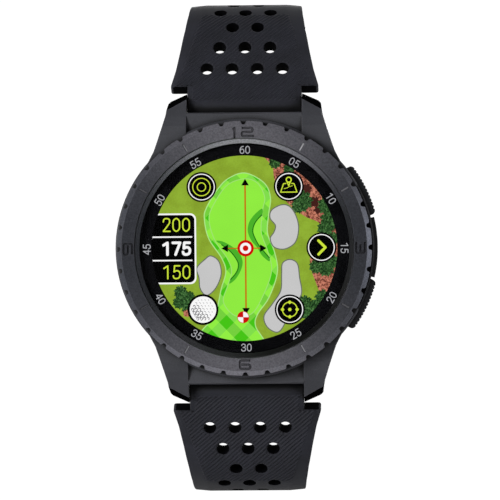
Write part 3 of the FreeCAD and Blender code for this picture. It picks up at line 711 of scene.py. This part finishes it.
def rounded_box(half_x, half_y, radius, steps):
    """Outline of a rectangle with round corners about its own centre, with its outward directions."""
    points = []
    for quarter, (way_x, way_y) in enumerate(((1, 1), (-1, 1), (-1, -1), (1, -1))):
        for step in range(steps + 1):
            angle = radians(90 * (quarter + step / steps))
            out_x, out_y = cos(angle), sin(angle)
            corner_x, corner_y = way_x * (half_x - radius), way_y * (half_y - radius)
            points.append((corner_x + radius * out_x, corner_y + radius * out_y, out_x, out_y))
    return points


def keeper_loop(name, node, body, at, length, gap):
    """A moulded rubber loop with a crowned outside and rounded rims."""
    half = TAIL_HALF + gap + KEEPER_WALL / 2
    low = -1.0 - gap - KEEPER_WALL / 2
    high = low + KEEPER_ROOM + gap + KEEPER_WALL
    section = rounded_box(KEEPER_WALL / 2, length / 2, 0.35, 4)
    u, v = np.array(section).T[:2]
    rings = []
    for x, h, out_x, out_h in rounded_box(half, (high - low) / 2, 0.6, 8):
        crowned = np.where(u > 0, u + 0.15 * (1 - (2 * v / length) ** 2), u)
        rings.append(strap_to_row(at + v, x + out_x * crowned, (low + high) / 2 + h + out_h * crowned, 1))
    faces = [f[::-1] for f in tube_faces(len(rings), len(section), joined=True)]
    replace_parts(make_piece(name, np.concatenate(rings), faces, body, "strap_rubber", sharp=60), node)


keeper_loop("fixed_keeper_loop", "fixed_keeper", "upper_strap", FIXED_KEEPER_S, 5.0, 0.0)
keeper_loop("sliding_keeper_loop", "sliding_keeper", "keeper", SLIDING_KEEPER_S, 4.5, 0.05)

# ---- display picture

VIEW_R = 17.63
LAYER = 0.011


def spline(knots, per_side):
    """Points along a Catmull-Rom curve, from the second knot to the last but one, without its end."""
    out = []
    knots = [Vector(p) for p in knots]
    for a, b, c, d in zip(knots, knots[1:], knots[2:], knots[3:]):
        for k in range(per_side):
            t = k / per_side
            point = 2 * b + (c - a) * t + (2 * a - 5 * b + 4 * c - d) * t * t
            out.append(tuple(0.5 * (point + (3 * b - a - 3 * c + d) * t ** 3)))
    return out


def closed_curve(points, per_side=9):
    """A smooth closed outline through the points."""
    return spline([points[-1]] + list(points) + list(points[:2]), per_side)


def open_curve(points, per_side=9):
    """A smooth line through the points."""
    return spline([points[0]] + list(points) + [points[-1]], per_side) + [tuple(points[-1])]


def circle(x, y, r, count=72):
    return [polar(r, 2 * pi * i / count, x, y) for i in range(count)]


def dense(points, step=0.25):
    """The same polygon with extra points along its straight sides."""
    out = []
    for (x0, y0), (x1, y1) in zip(points, points[1:] + points[:1]):
        count = max(1, int(hypot(x1 - x0, y1 - y0) / step))
        out += [(x0 + (x1 - x0) * i / count, y0 + (y1 - y0) * i / count) for i in range(count)]
    return out


def band(points, width, closed=True):
    """Quads of a line of this width along points."""
    n = len(points)
    left, right = [], []
    for i, (x, y) in enumerate(points):
        before = points[i - 1] if closed or i else points[0]
        after = points[(i + 1) % n] if closed or i < n - 1 else points[-1]
        dx, dy = after[0] - before[0], after[1] - before[1]
        size = hypot(dx, dy) or 1.0
        left.append((x - dy / size * width / 2, y + dx / size * width / 2))
        right.append((x + dy / size * width / 2, y - dx / size * width / 2))
    steps = [(i, (i + 1) % n) for i in range(n if closed else n - 1)]
    return [[left[i], right[i], right[k], left[k]] for i, k in steps]


def within_view(point):
    radius = hypot(*point)
    if radius <= VIEW_R:
        return point
    return (point[0] * VIEW_R / radius, point[1] * VIEW_R / radius)


def area(polygon):
    return sum(a[0] * b[1] - b[0] * a[1] for a, b in zip(polygon, polygon[1:] + polygon[:1])) / 2


def flat_piece(name, polygons, z, slot, look):
    """Flat polygons that face the wearer, z off the case back."""
    verts, faces = [], []
    for polygon in polygons:
        size = area(polygon)
        if abs(size) < 1e-6:
            continue
        if size < 0:
            polygon = polygon[::-1]
        faces.append(tuple(range(len(verts), len(verts) + len(polygon))))
        verts += polygon
    make_piece(name, to_row(*np.array(verts).T, z), faces, "case", slot, look, smooth=False)


def picture(name, polygons, layer, look):
    """Part of the display picture, at a layer above the panel."""
    clipped = [[within_view(p) for p in polygon] for polygon in polygons]
    flat_piece("screen_" + name, clipped, DISPLAY_Z + LAYER * layer, "display", look)


DIGITS = {
    "0": [closed_curve([(0.29, 1.0), (0.08, 0.82), (0.05, 0.5), (0.08, 0.18), (0.29, 0.0), (0.5, 0.18),
                        (0.53, 0.5), (0.5, 0.82)], 6) + [(0.29, 1.0)]],
    "1": [[(0.08, 0.8), (0.36, 1.0), (0.36, 0.0)]],
    "2": [open_curve([(0.06, 0.74), (0.12, 0.94), (0.3, 1.0), (0.49, 0.92), (0.52, 0.7), (0.42, 0.5),
                      (0.06, 0.0)], 6) + [(0.55, 0.0)]],
    "3": [open_curve([(0.06, 0.78), (0.13, 0.95), (0.3, 1.0), (0.48, 0.9), (0.5, 0.72), (0.42, 0.56),
                      (0.22, 0.52)], 6),
          open_curve([(0.22, 0.52), (0.44, 0.48), (0.54, 0.28), (0.46, 0.07), (0.28, 0.0), (0.1, 0.06),
                      (0.04, 0.24)], 6)],
    "4": [[(0.42, 0.0), (0.42, 1.0), (0.02, 0.3), (0.58, 0.3)]],
    "5": [[(0.52, 1.0), (0.14, 1.0), (0.1, 0.53)]
          + open_curve([(0.1, 0.53), (0.3, 0.62), (0.48, 0.54), (0.54, 0.33), (0.47, 0.09), (0.28, 0.0),
                        (0.1, 0.05), (0.04, 0.22)], 6)],
    "6": [open_curve([(0.47, 1.0), (0.2, 0.88), (0.06, 0.58), (0.06, 0.3), (0.14, 0.06), (0.3, 0.0),
                      (0.47, 0.07), (0.54, 0.3), (0.47, 0.53), (0.3, 0.61), (0.14, 0.53), (0.06, 0.36)], 6)],
    "7": [[(0.03, 1.0), (0.55, 1.0), (0.22, 0.0)]],
}
DIGIT_STEP = 0.72


def letters(text, size, x, y, turn=0.0, weight=0.14, wide=1.0):
    """Polygons of a number drawn as strokes, centred at x, y and turned by turn degrees."""
    angle = radians(turn)
    half_length = (DIGIT_STEP * (len(text) - 1) + 0.58) / 2
    height = size * (1 - weight)
    polygons = []
    for i, digit in enumerate(text):
        for path in DIGITS[digit]:
            points = []
            for u, v in path:
                px = (u + i * DIGIT_STEP - half_length) * size * wide
                py = (v - 0.5) * height
                points.append((x + px * cos(angle) - py * sin(angle),
                               y + px * sin(angle) + py * cos(angle)))
            polygons += sketch(points, size * weight)
    return polygons


def sketch(points, width):
    """A round-jointed line as separate quads and discs."""
    legs = sum([band([a, b], width, False) for a, b in zip(points, points[1:])], [])
    return legs + [circle(x, y, width / 2, 14) for x, y in points]


def lumps(x, y, r, seed, count=9, depth=0.15):
    """A bushy outline: a circle with irregular rounded lobes."""
    points = []
    for i in range(96):
        angle = 2 * pi * i / 96
        broad = 0.6 * sin(count * angle + seed)
        fine = 0.5 * sin((2 * count + 1) * angle + 2.3 * seed)
        swell = 1 + depth * (broad + fine)
        points.append(polar(r * swell, angle, x, y))
    return points


GREEN = [(0.2, 13.2), (-3.2, 12.0), (-5.9, 8.2), (-6.7, 5.4), (-5.6, 1.5), (-3.3, -1.9), (-2.5, -4.4),
         (-3.3, -7.2), (-4.1, -10.2), (-1.9, -12.8), (1.3, -12.4), (3.6, -8.7), (5.1, -4.3), (4.4, -0.6),
         (3.2, 3.1), (3.5, 7.2), (3.9, 9.7), (2.6, 12.3)]
FRINGE = [(0.2, 14.3), (-3.1, 13.2), (-5.2, 11.0), (-7.2, 7.7), (-7.6, 5.6), (-6.8, 1.9), (-4.4, -1.8),
          (-3.6, -4.4), (-4.5, -7.7), (-5.3, -11.3), (-6.2, -13.4), (-8.2, -16.8), (0.0, -20.0), (3.6, -18.2),
          (2.0, -14.9), (2.3, -12.7), (4.6, -9.3), (6.2, -4.6), (5.7, -0.8), (4.4, 2.8), (4.6, 6.2),
          (5.0, 9.6), (3.8, 12.4)]
BUNKERS = [
    [(7.1, 8.2), (5.2, 7.2), (4.9, 5.7), (5.9, 4.3), (5.6, 3.0), (4.9, 1.8), (5.6, 0.2), (7.6, -0.2),
     (9.6, 1.0), (10.3, 3.5), (9.9, 5.9), (8.7, 7.8)],
    [(8.6, -2.2), (7.2, -2.9), (7.0, -5.0), (6.8, -8.1), (5.2, -10.6), (3.6, -12.9), (4.2, -15.0),
     (6.1, -16.0), (7.4, -14.6), (8.6, -11.4), (10.7, -8.9), (10.4, -5.6), (10.0, -3.0)],
    [(-6.4, -1.4), (-7.6, -2.1), (-9.1, -3.7), (-8.7, -5.6), (-8.5, -7.6), (-7.3, -8.9), (-5.6, -7.6),
     (-4.5, -5.0), (-4.9, -2.5)],
]
BED = [(4.3, 17.4), (4.9, 16.2), (5.5, 15.4), (5.7, 13.4), (6.5, 11.0), (8.0, 8.8), (9.8, 7.2), (11.8, 5.8),
       (14.2, 4.7), (14.4, 2.9), (13.0, 0.6), (12.4, -2.0), (12.6, -4.0), (13.4, -6.4), (14.6, -9.2),
       (16.0, -10.0), (19.0, -4.0), (19.5, 4.0), (16.0, 11.0), (10.0, 17.0)]
RIGHT_CREASE = [(3.4, 6.35), (2.45, 5.4), (1.8, 4.3), (1.6, 3.1), (2.0, 1.9), (2.7, 0.6), (3.9, -0.9),
                (4.75, -1.9)]
RIGHT_HOLLOW = [(3.4, 7.5), (2.2, 6.65), (1.1, 5.3), (0.65, 3.9), (0.75, 2.7), (1.4, 1.3), (2.4, 0.1),
                (3.3, -1.4), (4.6, -2.5)] + RIGHT_CREASE[::-1]
LEFT_CREASE = [(-2.6, -0.7), (-1.35, -2.5), (-1.25, -3.7), (-1.75, -4.8), (-2.75, -5.95)]
LEFT_HOLLOW = [(-5.3, 1.5), (-4.1, 1.3), (-2.6, 0.5), (-1.2, -0.6), (-0.55, -1.8), (-0.4, -3.0),
               (-0.85, -4.4), (-1.8, -5.9), (-2.9, -6.7)] + LEFT_CREASE[::-1] + [(-3.9, 0.5), (-5.0, 1.1)]

WHITE = lit("screen_white", (250, 250, 250), 0.01)
BLACK = lit("screen_black", (2, 2, 2), 0.2)
LIME = lit("screen_lime", (208, 232, 60))
RED = lit("screen_red", (208, 16, 10))
ORANGE = lit("screen_orange", (196, 112, 18))


def rough_colour(look):
    broad = look.noise(2.6, 3.0)
    fine = look.noise(0.28, 3.0, 0.7)
    tone = look.plus(look.times(broad, 0.6), look.times(fine, 0.4))
    return look.tones(tone, (0.38, (132, 160, 44)), (0.62, (146, 180, 54)))


def mulch_colour(look):
    chips = look.noise(0.32, 2.0, 0.9)
    return look.tones(chips, (0.4, (78, 40, 32)), (0.48, (150, 84, 66)), (0.6, (214, 136, 112)))


def bush_colour(look):
    leaves = look.noise(0.28, 3.0, 0.9)
    return look.tones(leaves, (0.4, (14, 30, 14)), (0.5, (34, 74, 32)), (0.64, (92, 140, 78)))


def check_colour(look):
    """Mown diamonds in four greens."""
    cell = 2.0
    place = look.node("Mapping", look.coord, Rotation=(0, radians(44), 0)).outputs["Vector"]
    odd = []
    for axis, shift in (("X", 0.66), ("Z", 0.33)):
        steps = look.plus(look.math("DIVIDE", look.along(place, axis), cell * MM), 100 + shift)
        odd.append(look.math("MODULO", look.math("FLOOR", steps), 2.0))
    light = look.mix(odd[1], linear((130, 224, 76)), linear((146, 240, 68)))
    dark = look.mix(odd[1], linear((70, 198, 22)), linear((118, 210, 62)))
    return look.mix(odd[0], dark, light)


MUTED = lit("screen_hollow", (76, 182, 42))
picture("rough", [circle(0, 0, VIEW_R, 180)], 1, glowing("screen_rough_look", rough_colour))
picture("bed", [closed_curve(BED)], 2, glowing("screen_bed_look", mulch_colour))
BUSHES = ((11.0, 8.9, 1.9, 0.4), (10.3, 7.9, 1.3, 1.4), (8.6, 15.0, 1.1, 1.2, 7), (5.9, 16.2, 1.1, 2.0),
          (15.6, 8.0, 1.6, 2.9), (16.4, 5.3, 1.9, 0.9), (15.4, 3.6, 1.5, 2.2), (17.0, 1.8, 1.1, 0.2),
          (13.6, -3.6, 1.3, 1.7), (15.4, -3.7, 1.7, 0.6), (16.6, -2.6, 1.3, 2.6), (14.9, -9.6, 1.6, 0.3),
          (13.6, -11.5, 1.7, 2.2), (11.3, -10.6, 1.5, 1.3), (12.3, -12.6, 1.4, 0.7), (-12.2, -8.3, 1.25, 1.1),
          (-11.3, -9.7, 1.5, 0.2), (-12.5, -10.2, 1.2, 2.4), (-10.9, -11.4, 1.1, 1.7),
          (-10.5, -9.0, 0.9, 0.9))
SOIL = ((13.4, 8.7, 0.95, 1.9, 6, 0.2), (14.0, 7.2, 0.7, 0.4, 6, 0.2), (11.9, 11.2, 0.9, 1.0, 6, 0.25))
picture("soil", [lumps(*spot) for spot in SOIL], 2.6, lit("screen_soil", (74, 36, 30), 0.2))
picture("bushes", [lumps(*bush) for bush in BUSHES], 3, glowing("screen_bush_look", bush_colour))
picture("stump", [lumps(-11.1, -12.3, 0.65, 1.0, 5, 0.2)], 3.3, glowing("screen_stump_look", mulch_colour))
fringe, green = closed_curve(FRINGE), closed_curve(GREEN)
picture("fringe", [fringe], 4, glowing("screen_fringe_look", check_colour))
picture("fringe_rim", band(fringe, 0.2), 4.6, lit("screen_pale", (178, 236, 140)))
picture("green", [green], 5, lit("screen_green", (146, 239, 66), 0.02))
picture("green_rim", band(green, 0.16), 5.6, lit("screen_pale_rim", (166, 232, 120)))
picture("hollows", [closed_curve(RIGHT_HOLLOW), closed_curve(LEFT_HOLLOW)], 6, MUTED)
creases = [open_curve(RIGHT_CREASE), open_curve([(-4.4, 0.75)] + LEFT_CREASE)]
picture("creases", sum([band(crease, 0.2, False) for crease in creases], []), 6.5,
        lit("screen_crease", (20, 112, 16)))
bunkers = [closed_curve(points) for points in BUNKERS]
picture("bunkers", bunkers, 5, lit("screen_sand", (202, 202, 202), 0.02))
picture("bunker_rims", sum([band(bunker, 0.2) for bunker in bunkers], []), 5.6,
        lit("screen_sand_rim", (106, 112, 100)))

# aiming lines
CENTRE_X = 0.19
aim_left, aim_right = CENTRE_X - 0.15, CENTRE_X + 0.15
picture("aim_lines", [[(aim_left, 12.2), (aim_left, -12.0), (aim_right, -12.0), (aim_right, 12.2)],
                      [(-3.3, 0.1), (-3.3, -0.1), (3.3, -0.1), (3.3, 0.1)]], 7, ORANGE)
arrows = []
for x, y, dx, dy in ((CENTRE_X, 13.2, 0, -1), (CENTRE_X, -12.6, 0, 1), (-4.4, 0.0, 1, 0), (4.2, 0.0, -1, 0)):
    arrows.append([(x, y), (x + 1.25 * dx + 0.72 * dy, y + 1.25 * dy + 0.72 * dx),
                   (x + 1.25 * dx - 0.72 * dy, y + 1.25 * dy - 0.72 * dx)])
picture("arrows", arrows, 7.5, BLACK)
picture("target_red", [circle(CENTRE_X, 0, 1.56)], 8, RED)
picture("target_white", [circle(CENTRE_X, 0, 1.06)], 8.5, WHITE)
picture("target_spot", [circle(CENTRE_X, 0, 0.54)], 9, RED)
PIN_X, PIN_Y, PIN_R = -0.36, -13.1, 1.03
picture("flag_disc", [circle(PIN_X, PIN_Y, PIN_R + 0.1)], 8, RED)
quarters = []
for start in (0, 180):
    arc = [polar(PIN_R, radians(a), PIN_X, PIN_Y) for a in range(start, start + 91, 5)]
    quarters.append([(PIN_X, PIN_Y)] + arc)
picture("flag_quarters", quarters, 8.5, WHITE)

# distance panel
PANEL_RIGHT, PANEL_TOP, PANEL_CORNER, PANEL_LINE = -9.18, 6.73, 1.14, 0.32


def panel_outline(inset):
    right, top, corner = PANEL_RIGHT - inset, PANEL_TOP - inset, PANEL_CORNER - inset * 0.6
    arc = [polar(corner, radians(a), right - corner, top - corner) for a in range(0, 91, 10)]
    outline = arc + [(-20.0, top)]
    return dense(outline + [(x, -y) for x, y in outline[::-1]])


picture("panel_rim", [panel_outline(0.0)], 6, WHITE)
picture("panel", [panel_outline(PANEL_LINE)], 6.6, BLACK)
bars = []
for y in (2.24, -2.22):
    bars.append(dense([(-20, y + 0.14), (-20, y - 0.14), (-9.94, y - 0.14), (-9.94, y + 0.14)]))
picture("panel_bars", bars, 7.2, WHITE)
picture("far_number", letters("200", 2.7, -12.95, 4.55, 0, 0.1, 0.96), 7.4, LIME)
picture("middle_number", letters("175", 2.75, -12.95, 0.02, 0, 0.185, 0.96), 7.4, WHITE)
picture("near_number", letters("150", 2.7, -12.95, -4.45, 0, 0.1, 0.96), 7.4, LIME)

# round keys
KEY_R, KEY_RING, KEY_LINE = 2.86, 2.44, 0.18
KEYS = {"rings": (-8.1, 11.7), "map": (8.5, 11.7), "next": (14.6, 0.04), "sight": (8.5, -11.7)}
picture("keys", [circle(x, y, KEY_R) for x, y in KEYS.values()], 9, BLACK)
picture("key_rings", sum([band(circle(x, y, KEY_RING), KEY_LINE) for x, y in KEYS.values()], []), 9.5, WHITE)

x, y = KEYS["rings"]
marks = band(circle(x, y, 1.66), 0.18) + band(circle(x, y, 0.8), 0.18)
x, y = KEYS["sight"]
marks += band(circle(x, y, 1.4), 0.2) + [circle(x, y, 0.32)]
for dx, dy in ((1.38, 0), (-1.38, 0), (0, 1.38), (0, -1.38)):
    marks.append(closed_curve(circle(x + dx, y + dy, 0.34, 4), 6))
x, y = KEYS["next"]
marks += sketch([(x - 0.55, y + 1.3), (x + 0.75, y), (x - 0.55, y - 1.3)], 0.5)
x, y = KEYS["map"]
marks += sketch([(x - 0.55, y + 0.55), (x - 1.0, y + 0.5), (x - 1.55, y - 1.1), (x + 1.55, y - 1.1),
                 (x + 1.0, y + 0.5), (x + 0.55, y + 0.55)], 0.2)
marks += band(circle(x, y + 1.25, 0.47, 40), 0.24)
marks += sketch([(x - 0.36, y + 0.95), (x, y + 0.1), (x + 0.36, y + 0.95)], 0.22)
marks += sketch([(x - 0.9, y - 0.45), (x - 0.3, y - 0.3), (x + 0.1, y - 0.05), (x + 0.7, y + 0.1)], 0.12)
picture("key_marks", marks, 10, LIME)

# golf ball key
BALL_X, BALL_Y, BALL_R = -8.0, -11.6, 2.52
picture("ball_rim", [circle(BALL_X, BALL_Y, BALL_R + 0.42)], 9, BLACK)
picture("ball", [circle(BALL_X, BALL_Y, BALL_R)], 9.5, lit("screen_ball", (252, 252, 252), 0.01))
DIMPLE_PITCH, DIMPLE_ROW, DIMPLE_R = 0.66, 0.57, 0.2
dimples = {"soft": [], "deep": []}
for i in range(-4, 5):
    for k in range(-5, 6):
        dx, dy = (i + 0.5 * (k % 2)) * DIMPLE_PITCH, k * DIMPLE_ROW
        reach = hypot(dx, dy)
        if reach > BALL_R - 0.3:
            continue
        shade = (-dx - dy) / BALL_R
        squeeze = sqrt(max(0.3, 1 - (reach / BALL_R) ** 2))
        low_side = max(0.0, min(1.0, shade + 0.3))
        half_arc = 45 + 120 * low_side
        size = DIMPLE_R * (1 + 0.5 * low_side)
        arc = [radians(45 + half_arc * n / 6) for n in range(-6, 7)]
        line = [(BALL_X + dx + size * squeeze * cos(a), BALL_Y + dy + size * sin(a)) for a in arc]
        dimples["deep" if shade > 0.1 else "soft"] += band(line, 0.1 + 0.03 * (shade > 0.1), False)
picture("ball_dimples_soft", dimples["soft"], 10, lit("screen_dimple", (150, 150, 152)))
picture("ball_dimples_deep", dimples["deep"], 10, lit("screen_dimple_deep", (96, 96, 100)))

# ---- minute numbers

NUMBER_R, NUMBER_HEIGHT, NUMBER_RISE = 18.78, 1.5, 0.02
RING_X, RING_Y = 0.2, -0.08
number_faces = []
for minute in range(5, 65, 5):
    bearing = radians(90 - minute * 6)
    turn = -minute * 6
    if minute in (20, 25, 30, 35, 40):
        turn += 180
    spot = polar(NUMBER_R, bearing, RING_X, RING_Y)
    number_faces += letters("%02d" % minute, NUMBER_HEIGHT, *spot, turn, 0.115)
# The minute numbers are print, drawn glowing: painted light keeps them bright.
flat_piece("minute_numbers", number_faces, TRACK_Z + NUMBER_RISE, "track_black",
           lit("number_print_glow", (172, 173, 177)))

# ---- bezel tick inlays

BEZEL_Z = depth_of("bezel_ring")
TICK_IN, TICK_OUT, TICK_HALF, TICK_SUNK, TICK_DEPTH = 21.25, 22.85, 0.15, 0.13, 0.3
TICK_SHADES = {1: 205, 2: 118, 4: 96, 5: 150, 7: 140, 8: 74, 10: 84, 11: 128}


def tick_inlay(hour, shade):
    """The paint in one hour tick, lighter where the tick catches the light."""
    bearing = radians(90 - 30 * hour)
    out_x, out_y = cos(bearing), sin(bearing)
    reach = np.array([TICK_IN, TICK_OUT, TICK_OUT, TICK_IN])
    aside = np.array([-1, -1, 1, 1]) * TICK_HALF
    x = out_x * reach - out_y * aside
    y = out_y * reach + out_x * aside
    verts = [to_row(x, y, BEZEL_Z - sunk) for sunk in (TICK_SUNK, TICK_DEPTH)]
    walls = [(k, k + 4, (k + 1) % 4 + 4, (k + 1) % 4) for k in range(4)]
    paint = grained("tick_paint_%02d" % hour, (shade, shade, shade + 5), 0.05, 0.5, 0.3, 0.002, 0.03)
    make_piece("tick_inlay_%02d" % hour, np.concatenate(verts), [(0, 1, 2, 3)] + walls, "bezel",
               "bezel_metal", paint, smooth=False)


for hour, shade in TICK_SHADES.items():
    tick_inlay(hour, shade)

# ---- stage

FLOOR_Z = -0.15


def stage_look():
    look = Look("stage_white", Roughness=0.95, Specular_IOR_Level=0.0, Emission_Color=(1, 1, 1, 1))
    drift = look.noise(400.0, 2.0)
    look.set("Base Color", look.ramp(drift, [(0.3, (0.3, 0.3, 0.3)), (0.7, (0.32, 0.32, 0.32))]))
    rays = look.node("LightPath").outputs["Is Camera Ray"]
    look.set("Emission Strength", look.span(rays, 0, 1, 0.1, 1.0))
    return look.mat


def cyclorama():
    """A pale floor that sweeps up into a back wall."""
    profile = [(-6.0, FLOOR_Z), (3.0, FLOOR_Z)]
    for step in range(1, 13):
        angle = radians(step * 7.5)
        profile.append((3.0 + 1.5 * sin(angle), FLOOR_Z + 1.5 * (1 - cos(angle))))
    profile.append((4.5, 6.0))
    verts = [(x, y, z) for y, z in profile for x in (-8.0, 8.0)]
    faces = [(i, i + 1, i + 3, i + 2) for i in range(0, len(verts) - 2, 2)]
    mesh = bpy.data.meshes.new("studio_floor")
    mesh.from_pydata(verts, [], faces)
    mesh.shade_smooth()
    mesh.materials.append(stage_look())
    add_object("studio_floor", mesh)


def face_along(made, way):
    """Turn a light or the camera to face a direction."""
    made.rotation_euler = way.to_track_quat("-Z", "Y").to_euler()


def area_light(name, place, aim, size, power):
    light = bpy.data.lights.new(name, "AREA")
    light.shape = "DISK"
    light.size = size
    light.energy = power
    made = add_object(name, light)
    made.location = place
    face_along(made, Vector(aim) - Vector(place))


def studio():
    cyclorama()
    world = bpy.context.scene.world = bpy.data.worlds.new("studio_world")
    world.use_nodes = True
    tree = world.node_tree
    back = tree.nodes["Background"]
    rays = tree.nodes.new("ShaderNodeLightPath")
    mix = tree.nodes.new("ShaderNodeMapRange")
    mix.inputs["To Min"].default_value = 0.12
    tree.links.new(rays.outputs["Is Camera Ray"], mix.inputs["Value"])
    tree.links.new(mix.outputs["Result"], back.inputs["Strength"])
    back.inputs["Color"].default_value = (1, 1, 1, 1)
    face_centre, strap_centre = (0, 0, 0), (0, 0.03, 0)
    area_light("left_soft", (-1.05, -1.25, 0.3), face_centre, 0.7, 14)
    area_light("right_soft", (1.1, -1.2, -0.3), face_centre, 0.7, 14)
    area_light("right_side", (1.6, 0.5, 0.35), strap_centre, 0.9, 7)
    area_light("left_side", (-1.6, 0.7, 0.1), strap_centre, 0.9, 7)
    area_light("back_soft", (0.1, 1.7, 0.25), strap_centre, 1.0, 12)


CAMERA_AIM = Vector((0.00103, -DISPLAY_Z * MM, -0.00034))
CAMERA_FAR = 0.9
CAMERA_RIGHT = radians(1.7)
CAMERA_UP = radians(0.2)
FIELD = 0.095
ROLL = radians(0.48)


def camera():
    data = bpy.data.cameras.new("camera")
    data.sensor_width = 36.0
    data.lens = 36.0 * CAMERA_FAR / FIELD
    data.clip_start = 0.05
    data.clip_end = 30.0
    made = add_object("camera", data)
    level = cos(CAMERA_UP)
    away = Vector((sin(CAMERA_RIGHT) * level, -cos(CAMERA_RIGHT) * level, sin(CAMERA_UP)))
    made.location = CAMERA_AIM + away * CAMERA_FAR
    face_along(made, -away)
    made.rotation_euler.rotate_axis("Z", -ROLL)
    bpy.context.scene.camera = made


studio()
camera()
bpy.context.scene.view_settings.view_transform = "Standard"
